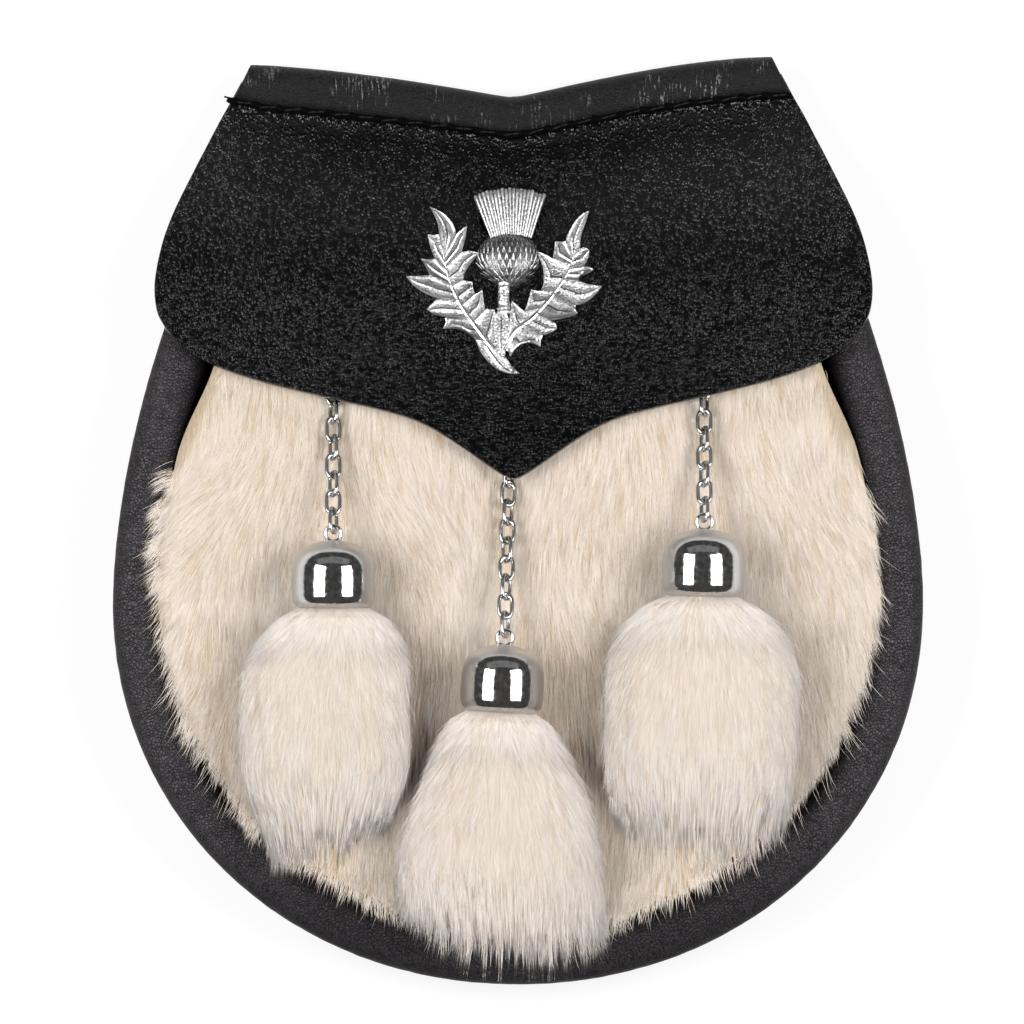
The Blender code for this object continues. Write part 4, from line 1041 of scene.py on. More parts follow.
# Each lobe: the stretch of midrib it grows from, its upper side out to the tip, the tip,
# its lower side, how high it stands, and whether it is tooled (1) or a plain plane (0)
LEFT_LOBES = [
    {"rib": (1.0, 1.0), "upper": [(-12.7, 6.2), (-13.7, 8.7), (-15.9, 11.2)], "tip": (-19.3, 12.9),
     "lower": [(-17.0, 6.1), (-17.2, 8.3), (-18.2, 11.0)], "lift": 0.25, "tooled": 0.3},
    {"rib": (1.0, 0.86), "upper": [(-17.0, 6.1), (-18.3, 5.9)], "tip": (-19.7, 6.0),
     "lower": [(-18.0, 0.1), (-19.2, 3.2)], "lift": 0.1, "tooled": 1},
    {"rib": (0.86, 0.73), "upper": [(-18.0, 0.1), (-19.8, 0.0)], "tip": (-21.4, 0.1),
     "lower": [(-19.2, -4.1), (-20.2, -1.8)], "lift": -0.2, "tooled": 0},
    {"rib": (0.73, 0.58), "upper": [(-19.2, -4.1), (-22.0, -4.2)], "tip": (-25.0, -4.2),
     "lower": [(-17.4, -9.8), (-20.6, -8.4), (-23.2, -6.5)], "lift": 0.3, "tooled": 0.5},
    {"rib": (0.58, 0.39), "upper": [(-17.4, -9.8), (-18.9, -11.2)], "tip": (-19.9, -12.4),
     "lower": [(-15.5, -14.2), (-18.0, -13.6)], "lift": 0.0, "tooled": 1},
    {"rib": (0.39, 0.12), "upper": [(-15.5, -14.2), (-15.3, -15.7)], "tip": (-16.0, -17.0),
     "lower": [(-8.0, -19.9), (-9.9, -18.2), (-12.8, -17.1)], "lift": 0.15, "tooled": 0},
    {"rib": (0.16, 0.0), "upper": [(-8.0, -19.9), (-6.8, -22.8), (-5.0, -25.3), (-2.4, -27.2),
                                   (0.2, -28.1)],
     "tip": (2.8, -28.0), "lower": [(-0.4, -24.5), (0.9, -26.4)], "lift": 0.35, "tooled": 0.6},
    {"rib": (1.0, 0.9), "upper": [(-12.7, 6.2), (-11.7, 6.9)], "tip": (-10.1, 8.2),
     "lower": [(-11.4, 1.5), (-10.5, 5.2)], "lift": 0.1, "tooled": 0.4},
    {"rib": (0.9, 0.72), "upper": [(-11.4, 1.5), (-9.6, 1.9)], "tip": (-7.2, 1.6),
     "lower": [(-11.0, -5.3), (-10.6, -3.4), (-9.2, -1.2)], "lift": 0.4, "tooled": 1},
    {"rib": (0.72, 0.52), "upper": [(-11.0, -5.3), (-10.0, -5.4)], "tip": (-8.8, -5.6),
     "lower": [(-8.1, -8.6), (-8.6, -7.2)], "lift": 0.1, "tooled": 1},
    {"rib": (0.52, 0.34), "upper": [(-8.1, -8.6), (-7.4, -8.3)], "tip": (-6.4, -7.6),
     "lower": [(-5.7, -12.7), (-6.0, -10.2)], "lift": 0.2, "tooled": 1},
    {"rib": (0.34, 0.0), "upper": [(-5.7, -12.7), (-5.2, -12.3)], "tip": (-3.4, -12.4),
     "lower": [(-2.4, -19.5), (-2.6, -15.5)], "lift": 0.0, "tooled": 1},
]
RIGHT_LOBES = [
    {"rib": (1.0, 1.0), "upper": [(14.0, 4.4), (15.4, 7.6), (17.4, 10.4)], "tip": (19.8, 11.9),
     "lower": [(17.6, 2.4), (17.8, 5.3), (18.9, 8.7)], "lift": 0.2, "tooled": 0.8},
    {"rib": (1.0, 0.9), "upper": [(17.6, 2.4), (18.7, 2.9)], "tip": (19.9, 2.2),
     "lower": [(18.7, -1.6), (19.6, 0.2)], "lift": 0.1, "tooled": 1},
    {"rib": (0.9, 0.79), "upper": [(18.7, -1.6), (19.8, -1.9)], "tip": (20.9, -2.6),
     "lower": [(17.3, -5.6), (17.5, -4.3), (19.0, -3.7)], "lift": -0.25, "tooled": 0},
    {"rib": (0.79, 0.64), "upper": [(17.3, -5.6), (19.8, -6.3)], "tip": (22.9, -6.6),
     "lower": [(16.7, -11.5), (19.2, -10.6), (21.5, -8.6)], "lift": 0.3, "tooled": 1},
    {"rib": (0.64, 0.42), "upper": [(16.7, -11.5), (16.2, -12.2)], "tip": (17.0, -13.2),
     "lower": [(10.5, -15.2), (13.3, -14.6), (15.6, -14.0)], "lift": -0.1, "tooled": 0},
    {"rib": (0.42, 0.27), "upper": [(10.5, -15.2), (11.5, -15.7)], "tip": (11.9, -17.1),
     "lower": [(8.5, -18.8), (10.6, -18.0)], "lift": 0.2, "tooled": 0.8},
    {"rib": (0.27, 0.03), "upper": [(8.5, -18.8), (7.9, -20.2)], "tip": (7.9, -21.5),
     "lower": [(0.5, -24.1), (1.9, -22.0), (3.9, -20.7), (6.2, -20.7)], "lift": 0.0, "tooled": 0.3},
    {"rib": (1.0, 0.93), "upper": [(14.0, 4.4), (13.0, 4.3)], "tip": (11.6, 4.4),
     "lower": [(10.9, -0.1), (11.2, 1.9)], "lift": -0.1, "tooled": 0.2},
    {"rib": (0.93, 0.68), "upper": [(10.9, -0.1), (9.4, 0.9)], "tip": (7.0, 1.9),
     "lower": [(7.9, -7.9), (8.6, -6.6), (8.7, -3.6), (8.2, -1.4)], "lift": 0.4, "tooled": 1},
    {"rib": (0.68, 0.48), "upper": [(7.9, -7.9), (6.9, -7.8)], "tip": (5.6, -7.5),
     "lower": [(4.0, -13.0), (5.0, -10.0)], "lift": 0.2, "tooled": 0.8},
    {"rib": (0.48, 0.02), "upper": [(4.0, -13.0), (2.6, -11.8)], "tip": (0.9, -10.2),
     "lower": [(-0.6, -20.5), (0.3, -15.0)], "lift": 0.35, "tooled": 1},
]

# Across a lobe, from its upper border (-1) by its vein (0) to its lower border (1)
ACROSS_LOBE = (-1, -0.94, -0.84, -0.66, -0.44, -0.27, -0.15, -0.07, 0,
               0.07, 0.15, 0.27, 0.44, 0.66, 0.84, 0.94, 1)


def lobe(rib, row):
    """A carved lobe: raised borders, a grooved vein, and a floor that dips between them."""
    def side(rib_share, points):
        foot = rib[int(round(rib_share * (len(rib) - 1)))]
        line = smooth_line([Vector(point) for point in points + [row["tip"]]], 6)
        return resample([foot] + line, 15)

    upper = side(row["rib"][0], row["upper"])
    lower = side(row["rib"][1], row["lower"])
    from_point = row["rib"][0] == row["rib"][1]
    top = len(ACROSS_LOBE)
    low_side = (0.9, 0.0, -0.9)

    def place(u, v):
        i = round(u * (top + 3)) % (top + 3)
        k = round(v * 14)
        w = ACROSS_LOBE[i] if i < top else low_side[i - top]
        flat = upper[k].lerp(lower[k], (w + 1) / 2)
        if i >= top:
            return Vector((flat.x * MM, flat.y * MM, 0.0))
        wide = (upper[k] - lower[k]).length
        depth = min(1.0, wide / 3.0) * (1.0 - v ** 6)
        if from_point:
            depth *= min(1.0, v * 5)
        border = 0.26 * math.exp(-((1 - abs(w)) / 0.13) ** 2)
        vein = 0.20 * math.exp(-(w / 0.17) ** 2) - 0.42 * math.exp(-(w / 0.06) ** 2)
        floor = -0.15 * math.sin(math.pi * min(1.0, abs(w)))
        side_tilt = 0.16 * w
        relief = (border + vein * (1 - v * 0.6) + floor + side_tilt) * depth
        rise = mix(LEAF_RIB_Z / MM, LEAF_EDGE_Z / MM, min(1.0, v * 1.2))
        rise += row["lift"] * math.sin(math.pi * v)
        return Vector((flat.x * MM, flat.y * MM, (rise + relief) * MM))

    def proud(u, v):
        i = round(u * (top + 3)) % (top + 3)
        if i >= top:
            return 0.1
        w = ACROSS_LOBE[i]
        plain_side = 0.5 if row["tooled"] == 0 and 0.1 < w < 0.8 else 1.0
        return plain_side * mix(0.15, 1.0, min(1.0, abs(w) / 0.14))

    return closed_body(top + 3, 14, place, proud)


def midrib(rib, tip):
    """A rib with two sloping sides and a dark groove along it, tapering up the leaf."""
    section = [(-0.78, -0.5), (-0.64, 0.06), (-0.16, 0.26), (-0.07, -0.10),
               (0.07, -0.10), (0.16, 0.26), (0.64, 0.06), (0.78, -0.5)]
    count = len(section)
    bend = (rib[-1] + tip) / 2 + Vector((0.2, 0))
    line = resample(list(rib) + smooth_line([rib[-1], bend, tip], 8), 61)

    def place(u, v):
        k = round(v * 48)
        across, up = section[round(u * count) % count]
        along = (line[k + 1] - line[max(k - 1, 0)]).normalized()
        size = mix(1.0, 0.35, v)
        at = line[k] + Vector((-along.y, along.x)) * across * size
        rise = mix(LEAF_RIB_Z / MM, LEAF_EDGE_Z / MM + 0.35, v ** 3)
        return Vector((at.x, at.y, rise + up * mix(1.0, 0.55, v))) * MM

    def proud(u, v):
        across = section[round(u * count) % count][0]
        return 0.0 if abs(across) < 0.10 else 1.0

    return closed_body(count, 48, place, proud)


TUFT_RIBS = 19


def tuft():
    """The thistle's flower: a fan of fine rounded ribs with uneven ends."""
    random.seed(31)
    ends = [random.uniform(-0.22, 0.22) for _ in range(TUFT_RIBS)]
    strong = [random.uniform(0.6, 1.1) for _ in range(TUFT_RIBS)]
    fine = TUFT_RIBS * 6

    def place_round(u):
        """Whether it is the top side, the share across, the rib, and how high on the rib."""
        i = round(u * (fine + 4)) % (fine + 4)
        top_side = i <= fine
        share = i / fine if top_side else 1.0 - (i - fine) / 4
        rib = min(int(share * TUFT_RIBS), TUFT_RIBS - 1)
        within = share * TUFT_RIBS - rib
        return top_side, share, rib, max(0.0, math.sin(math.pi * within)) ** 0.7

    def place(u, v):
        top_side, share, rib, round_rib = place_round(u)
        foot = Vector((mix(-4.4, 5.8, share), 6.0 + 0.9 * math.sin(math.pi * share) - 1.0))
        crest = Vector((mix(-8.5, 9.3, share), 17.3 - 1.65 * abs(2 * share - 1) ** 2))
        crest.y += (ends[rib] - 0.45 * (1 - round_rib)) if top_side else -0.3
        at = foot.lerp(crest, v)
        if not top_side:
            return Vector((at.x, at.y, 0.15)) * MM
        rise = mix(1.5, 1.9, math.sin(math.pi * share)) + 0.5 * v * (1 - v) * 4 * 0.4
        relief = 0.62 * strong[rib] * round_rib * mix(0.6, 1.0, v)
        return Vector((at.x, at.y, rise + relief * (1.0 - 0.55 * float(ease(v, 0.9, 1.0))))) * MM

    def proud(u, v):
        top_side, _, _, round_rib = place_round(u)
        return mix(0.22, 1.0, float(ease(round_rib, 0.0, 0.5))) if top_side else 0.1

    return closed_body(fine + 4, 12, place, proud)


BULB = Vector((7.6, 6.95, 4.1))


def bulb_narrow(rise):
    """How much narrower the bulb is than a round one, towards its foot."""
    return mix(0.66, 1.0, float(ease(rise, 0.05, 0.48)))


def bulb_point(rise, turn):
    """On the bulb: rise from its foot (0) to its collar (1), turn left (-) or right (+)."""
    polar = math.pi * rise
    narrow = bulb_narrow(rise)
    return Vector((BULB.x * math.sin(polar) * math.sin(turn) * narrow, -BULB.y * math.cos(polar),
                   BULB.z * math.sin(polar) * math.cos(turn)))


# Rows of scales up the bulb: where, how many, their length and width, how far they stand out
SCALE_ROWS = [
    {"rise": 0.13, "count": 9, "long": 2.4, "wide": 0.46, "out": 0.35},
    {"rise": 0.23, "count": 11, "long": 2.2, "wide": 0.60, "out": 0.60},
    {"rise": 0.32, "count": 11, "long": 2.1, "wide": 0.66, "out": 0.70},
    {"rise": 0.41, "count": 13, "long": 1.9, "wide": 0.62, "out": 0.70},
    {"rise": 0.49, "count": 13, "long": 1.7, "wide": 0.58, "out": 0.62},
    {"rise": 0.57, "count": 15, "long": 1.4, "wide": 0.46, "out": 0.50},
    {"rise": 0.64, "count": 15, "long": 1.1, "wide": 0.38, "out": 0.36},
    {"rise": 0.71, "count": 17, "long": 0.8, "wide": 0.30, "out": 0.24},
    {"rise": 0.77, "count": 15, "long": 0.6, "wide": 0.26, "out": 0.16},
    {"rise": 0.83, "count": 13, "long": 0.5, "wide": 0.22, "out": 0.12},
]


def bulb():
    """The scaled bulb: a dome with rows of pointed scales that overlap upwards."""
    random.seed(17)
    shape = bmesh.new()
    proud = shape.verts.layers.float.new("mark")
    bmesh.ops.create_uvsphere(shape, u_segments=48, v_segments=28, radius=1.0)
    for vert in shape.verts:
        rise = math.acos(max(-1.0, min(1.0, -vert.co.y))) / math.pi
        vert[proud] = 0.22
        vert.co = Vector((vert.co.x * BULB.x * bulb_narrow(rise),
                          vert.co.y * BULB.y,
                          max(0.0, vert.co.z) * BULB.z))
    bmesh.ops.remove_doubles(shape, verts=shape.verts, dist=0.001)
    for number, row in enumerate(SCALE_ROWS):
        for i in range(row["count"]):
            turn = math.radians(mix(-80, 80, (i + 0.5 * (number % 2)) / (row["count"] - 0.5)))
            foot = bulb_point(row["rise"], turn)
            tip_way = (bulb_point(row["rise"] + 0.05, turn) - foot).normalized()
            out_way = Vector((foot.x / BULB.x ** 2, foot.y / BULB.y ** 2,
                              foot.z / BULB.z ** 2)).normalized()
            side_way = tip_way.cross(out_way)
            scale = bmesh.ops.create_cone(shape, cap_ends=True, segments=8, radius1=1.0,
                                          radius2=0.04, depth=1.0)["verts"]
            size = random.uniform(0.85, 1.15)
            for vert in scale:
                up = vert.co.z + 0.5
                belly = 1.0 + 0.35 * math.sin(math.pi * min(1.0, up * 1.3))
                vert[proud] = mix(0.3, 1.0, min(1.0, up * 1.6))
                vert.co = (foot + side_way * vert.co.x * row["wide"] * belly * size
                           + out_way * (vert.co.y * 0.35 * row["wide"] + row["out"] * up * size)
                           + tip_way * row["long"] * (up - 0.35) * size)
    bmesh.ops.scale(shape, vec=(MM, MM, MM), verts=shape.verts)
    bmesh.ops.recalc_face_normals(shape, faces=shape.faces)
    return shape


def stem():
    """A short knobbly stalk between the bulb and the leaves."""
    def place(u, v):
        turn = 2 * math.pi * (u % 1.0)
        y = mix(-6.0, -13.6, v)
        bark = 0.24 * wrinkle(math.cos(turn), y, math.sin(turn), 0.7, 6)
        ring = 0.28 * math.exp(-((v - 0.93) / 0.035) ** 2) + 0.2 * math.exp(-((v - 0.82) / 0.03) ** 2)
        out = 1.48 + bark + ring
        return Vector((-1.05 + math.cos(turn) * out, y, 1.75 + math.sin(turn) * out)) * MM

    return closed_body(20, 44, place)


def centre_leaflet():
    """The fluted leaflet that stands below the stalk, between the two leaves."""
    rib = [Vector((mix(-2.6, -0.9, i / 20), -24.5)) for i in range(21)]
    return lobe(rib, {"rib": (0.0, 1.0), "upper": [(-3.7, -17.5), (-3.2, -13.6)], "tip": (-1.7, -12.6),
                      "lower": [(0.2, -17.5), (0.0, -14.2)], "lift": 0.5, "tooled": 1})


def thistle_badge(look):
    """The cast badge: leaves lobe by lobe, their midribs, the stalk, the bulb and the tuft."""
    bodies = []
    for points, lobes in ((LEFT_RIB, LEFT_LOBES), (RIGHT_RIB, RIGHT_LOBES)):
        rib = resample(smooth_line([Vector(point) for point in points]), 101)
        bodies += [(lobe(rib, row), row["tooled"]) for row in lobes]
        bodies.append((midrib(rib, Vector(lobes[0]["tip"])), 0.2))
    bodies += [(centre_leaflet(), 1.0), (stem(), 0.8), (tuft(), 0.25), (bulb(), 0.35)]
    whole = bmesh.new()
    tooled, proud = [], []
    for body, tooling in bodies:
        held = bpy.data.meshes.new("cast")
        tooled += [tooling] * len(body.verts)
        body.to_mesh(held)
        body.free()
        marks = held.attributes.get("mark")
        proud += [item.value for item in marks.data] if marks else [1.0] * len(held.vertices)
        whole.from_mesh(held)
        bpy.data.meshes.remove(held)
    x, y = BADGE_MIDDLE
    seat = flap_middle_z(x, y) + LEATHER / 2 + BADGE_LIFT
    tilt = math.atan(FLAP_SLOPE)
    in_plan = Matrix.Diagonal((1.0, 1.0 / math.cos(tilt), 1.0, 1.0))
    bmesh.ops.transform(whole, verts=whole.verts, matrix=Matrix.Translation((x, y, seat))
                        @ Matrix.Rotation(-tilt, 4, "X") @ in_plan)
    piece = finished("thistle_badge", whole, look, stands_for=("thistle_badge",))
    for name, values in (("tooled", tooled), ("proud", proud)):
        piece.data.attributes.new(name, "FLOAT", "POINT").data.foreach_set("value", values)
    piece.data.set_sharp_from_angle(angle=math.radians(38))


# ---------------------------------------------------------------------- fur

class Heights:
    """Heights over the plan, kept on a grid and read smoothly between its points."""

    def __init__(self, read, step=1.5 * MM):
        self.low = np.array((-106 * MM, -121 * MM))
        self.step = step
        across, up = (int(round(span / step)) + 1 for span in (212 * MM, 242 * MM))
        self.grid = np.array([[read(self.low[0] + i * step, self.low[1] + j * step)
                               for j in range(up)] for i in range(across)])

    def lowest_near(self, reach):
        """Each point takes the lowest value round it."""
        for _ in range(int(round(reach / self.step))):
            padded = np.pad(self.grid, 1, mode="edge")
            shifts = [padded[i:i + self.grid.shape[0], j:j + self.grid.shape[1]]
                      for i in range(3) for j in range(3)]
            self.grid = np.min(shifts, axis=0)
        return self

    def softened(self, times):
        for _ in range(times):
            padded = np.pad(self.grid, 1, mode="edge")
            self.grid = (padded[1:-1, 1:-1] * 2 + padded[:-2, 1:-1] + padded[2:, 1:-1]
                         + padded[1:-1, :-2] + padded[1:-1, 2:]) / 6
        return self

    def at(self, x, y):
        gx = np.clip((np.asarray(x) - self.low[0]) / self.step, 0, self.grid.shape[0] - 1.001)
        gy = np.clip((np.asarray(y) - self.low[1]) / self.step, 0, self.grid.shape[1] - 1.001)
        i, j = gx.astype(int), gy.astype(int)
        fx, fy = gx - i, gy - j
        grid = self.grid
        return (grid[i, j] * (1 - fx) * (1 - fy) + grid[i + 1, j] * fx * (1 - fy)
                + grid[i, j + 1] * (1 - fx) * fy + grid[i + 1, j + 1] * fx * fy)


def tree_of(*names):
    """The surface of some solids, to cast lines at."""
    points, faces = [], []
    for name in names:
        start = len(points)
        mesh = nodes[name].data
        points += [vert.co.copy() for vert in mesh.vertices]
        faces += [[start + corner for corner in face.vertices] for face in mesh.polygons]
    return BVHTree.FromPolygons(points, faces)


def bed_and_roof():
    """What the fur lies on, the room above it, and how far the outline's edge is."""
    rim = tree_of("rim_roll")
    hidden = tree_of("flap", "snap_stud", *[n for n in nodes if n.startswith(
        ("bell_", "tassel_", "chain_"))])
    down, up = Vector((0, 0, -1)), Vector((0, 0, 1))
    hide_edge = 1.0 - RIM_WIDTH / HALF_WIDTH

    def bed_z(x, y):
        hit = rim.ray_cast(Vector((x, y, 0.2)), down)[0]
        on_rim = hit.z if hit else -1.0
        on_hide = hide_top(x, y) if edge_share(x, y) < hide_edge + 0.02 else -1.0
        return max(on_rim, on_hide, 12 * MM)

    bed = Heights(bed_z).softened(2)

    def roof_z(x, y):
        hit = hidden.ray_cast(Vector((x, y, float(bed.at(x, y)) + 0.05 * MM)), up)[0]
        return hit.z if hit else 0.2

    roof = Heights(roof_z).lowest_near(2.4 * MM)
    inside = Heights(edge_share)
    return bed, roof, inside


WAVES = 7


def waves(x, y, size, seed):
    """A smooth random surface, about -1 to 1, for arrays."""
    rng = np.random.default_rng(seed)
    total = np.zeros_like(np.asarray(x, float))
    for _ in range(WAVES):
        way = rng.uniform(0, 2 * math.pi)
        reach = size * rng.uniform(0.7, 1.6)
        total = total + np.sin((x * math.cos(way) + y * math.sin(way)) * 2 * math.pi / reach
                               + rng.uniform(0, 2 * math.pi))
    return total / math.sqrt(WAVES) / 1.4


# Where the fur lies aslant: place, reach, and turn from straight down, + to the right
SLANTS = [
    {"x": -86, "y": 4, "reach": 13, "turn": -48},
    {"x": -90, "y": -24, "reach": 13, "turn": -14},
    {"x": -76, "y": 34, "reach": 10, "turn": 14},
    {"x": -62, "y": 12, "reach": 9, "turn": -22},
    {"x": -88, "y": -56, "reach": 15, "turn": -22},
    {"x": -62, "y": -88, "reach": 16, "turn": -14},
    {"x": -26, "y": 8, "reach": 9, "turn": 26},
    {"x": 24, "y": 4, "reach": 10, "turn": -10},
    {"x": 66, "y": 10, "reach": 12, "turn": 18},
    {"x": 88, "y": -6, "reach": 14, "turn": 24},
    {"x": 90, "y": -40, "reach": 16, "turn": 14},
    {"x": 74, "y": -72, "reach": 16, "turn": 6},
    {"x": 46, "y": -96, "reach": 14, "turn": 2},
]

# Stray tufts that sweep over the rim: root, how far the roots scatter, hair length,
# turn from straight down (+ to the right) and how much it bends on the way
TUFTS = [
    {"x": -84.0, "y": 11.0, "spread": 1.2, "length": 9.5, "turn": -78, "bend": 16, "hairs": 55},
    {"x": -85.0, "y": 3.5, "spread": 2.0, "length": 8.0, "turn": -56, "bend": 18, "hairs": 130},
    {"x": -86.5, "y": -5.0, "spread": 2.0, "length": 7.5, "turn": -52, "bend": 16, "hairs": 130},
    {"x": -87.0, "y": -12.5, "spread": 2.0, "length": 6.0, "turn": -36, "bend": 12, "hairs": 40},
    {"x": -86.5, "y": -28.0, "spread": 2.0, "length": 5.0, "turn": -30, "bend": 10, "hairs": 20},
    {"x": -81.5, "y": -50.0, "spread": 3.0, "length": 8.0, "turn": -18, "bend": -8, "hairs": 90},
    {"x": -67.0, "y": -72.0, "spread": 2.6, "length": 12.0, "turn": -22, "bend": -8, "hairs": 120},
    {"x": -57.5, "y": -80.0, "spread": 2.6, "length": 13.0, "turn": -12, "bend": -10, "hairs": 140},
    {"x": -34.0, "y": -95.0, "spread": 3.0, "length": 8.0, "turn": 2, "bend": 4, "hairs": 50},
    {"x": 83.0, "y": 4.0, "spread": 2.0, "length": 8.0, "turn": 36, "bend": -16, "hairs": 110},
    {"x": 84.5, "y": -19.0, "spread": 2.2, "length": 8.0, "turn": 32, "bend": -16, "hairs": 100},
    {"x": 82.0, "y": -38.0, "spread": 2.0, "length": 6.5, "turn": 22, "bend": -12, "hairs": 50},
    {"x": 60.0, "y": -83.0, "spread": 4.0, "length": 8.0, "turn": 14, "bend": -12, "hairs": 50},
    {"x": 26.0, "y": -97.0, "spread": 4.0, "length": 7.0, "turn": 8, "bend": -4, "hairs": 50},
]


def flow(x, y):
    """The way the fur lies, as a turn from straight down, in radians."""
    turn = 0.16 * waves(x, y, 46 * MM, 3) + 0.15 * waves(x, y, 19 * MM, 4)
    turn = turn + 0.10 * waves(x, y, 8 * MM, 5)
    for row in SLANTS:
        px, py, reach = in_mm(row, "x", "y", "reach")
        near = np.exp(-((x - px) ** 2 + (y - py) ** 2) / (2 * reach ** 2))
        turn = turn + math.radians(row["turn"]) * near
    return turn


def fur_edge(x, y):
    """How far out the fur reaches: less in the lower corners, where the rim shows widest."""
    turn = np.arctan2(np.maximum(0.0, BELLY_Y - y), np.abs(x))
    return (0.900 - 0.034 * np.sin(2 * turn) - 0.018 * np.sin(turn) ** 2
            - 0.028 * ease(y, 14 * MM, 38 * MM))


def strands(name, paths, widths, tints, facing, look):
    """Fine closed three-sided hairs as one mesh; the last point of each path is its tip."""
    count, rings, _ = paths.shape
    along = np.empty_like(paths)
    along[:, 1:-1] = paths[:, 2:] - paths[:, :-2]
    along[:, 0] = paths[:, 1] - paths[:, 0]
    along[:, -1] = paths[:, -1] - paths[:, -2]
    along /= np.linalg.norm(along, axis=2, keepdims=True) + 1e-12
    side = np.cross(along, np.array((0.0, 0.0, 1.0)))
    side /= np.linalg.norm(side, axis=2, keepdims=True) + 1e-12
    up = np.cross(side, along)
    body = rings - 1
    per = body * 3 + 1
    points = np.empty((count, per, 3), np.float32)
    for k in range(body):
        for corner in range(3):
            turn = math.pi / 6 + corner * 2 * math.pi / 3
            points[:, k * 3 + corner] = paths[:, k] + (
                side[:, k] * math.cos(turn) + up[:, k] * math.sin(turn)) * widths[:, k, None] / 2
    points[:, -1] = paths[:, -1]
    pattern = [(2, 1, 0)]
    for k in range(body - 1):
        for corner in range(3):
            a, b = k * 3 + corner, k * 3 + (corner + 1) % 3
            pattern += [(a, b, b + 3), (a, b + 3, a + 3)]
    for corner in range(3):
        pattern.append(((body - 1) * 3 + corner, (body - 1) * 3 + (corner + 1) % 3, per - 1))
    pattern = np.array(pattern, np.int32)
    faces = (pattern[None] + (np.arange(count, dtype=np.int32) * per)[:, None, None]).reshape(-1, 3)
    mesh = bpy.data.meshes.new(name)
    mesh.vertices.add(count * per)
    mesh.vertices.foreach_set("co", points.ravel())
    mesh.loops.add(faces.size)
    mesh.loops.foreach_set("vertex_index", faces.ravel())
    mesh.polygons.add(len(faces))
    mesh.polygons.foreach_set("loop_start", np.arange(0, faces.size, 3, dtype=np.int32))
    mesh.update(calc_edges=True)
    shade = np.concatenate([np.repeat(np.linspace(0, 1, rings)[:-1], 3), [1.0]])
    for label, values in (("shade", np.tile(shade, count)), ("tint", np.repeat(tints, per))):
        held = mesh.attributes.new(label, "FLOAT", "POINT")
        held.data.foreach_set("value", values.astype(np.float32))
    ways = np.concatenate([np.repeat(facing[:, :-1], 3, axis=1), facing[:, -1:]], axis=1)
    held = mesh.attributes.new("coat", "FLOAT_VECTOR", "POINT")
    held.data.foreach_set("vector", ways.astype(np.float32).ravel())
    piece = placed(name, mesh, look)
    piece.visible_shadow = False     # light passes through fine hair; the coat below casts it


def gather(paths, rng, guides, pull):
    """Draw hairs towards a few of their number, more towards their tips."""
    count, rings, _ = paths.shape
    chosen = rng.choice(count, guides, replace=False)
    roots = paths[:, 0, :2]
    nearest = np.empty(count, int)
    for start in range(0, count, 4000):
        block = roots[start:start + 4000]
        gaps = ((block[:, None] - roots[chosen][None]) ** 2).sum(2)
        nearest[start:start + 4000] = chosen[gaps.argmin(1)]
    t = np.linspace(0, 1, rings)[None, :, None]
    strength = pull * rng.uniform(0.35, 1.0, count)[:, None, None] * t ** 1.4
    offset = paths[nearest] - paths
    offset[:, :, 2] = 0
    far = np.linalg.norm(offset, axis=2, keepdims=True)
    return paths + offset * strength * np.minimum(1.0, 2.5 * MM / (far + 1e-9))


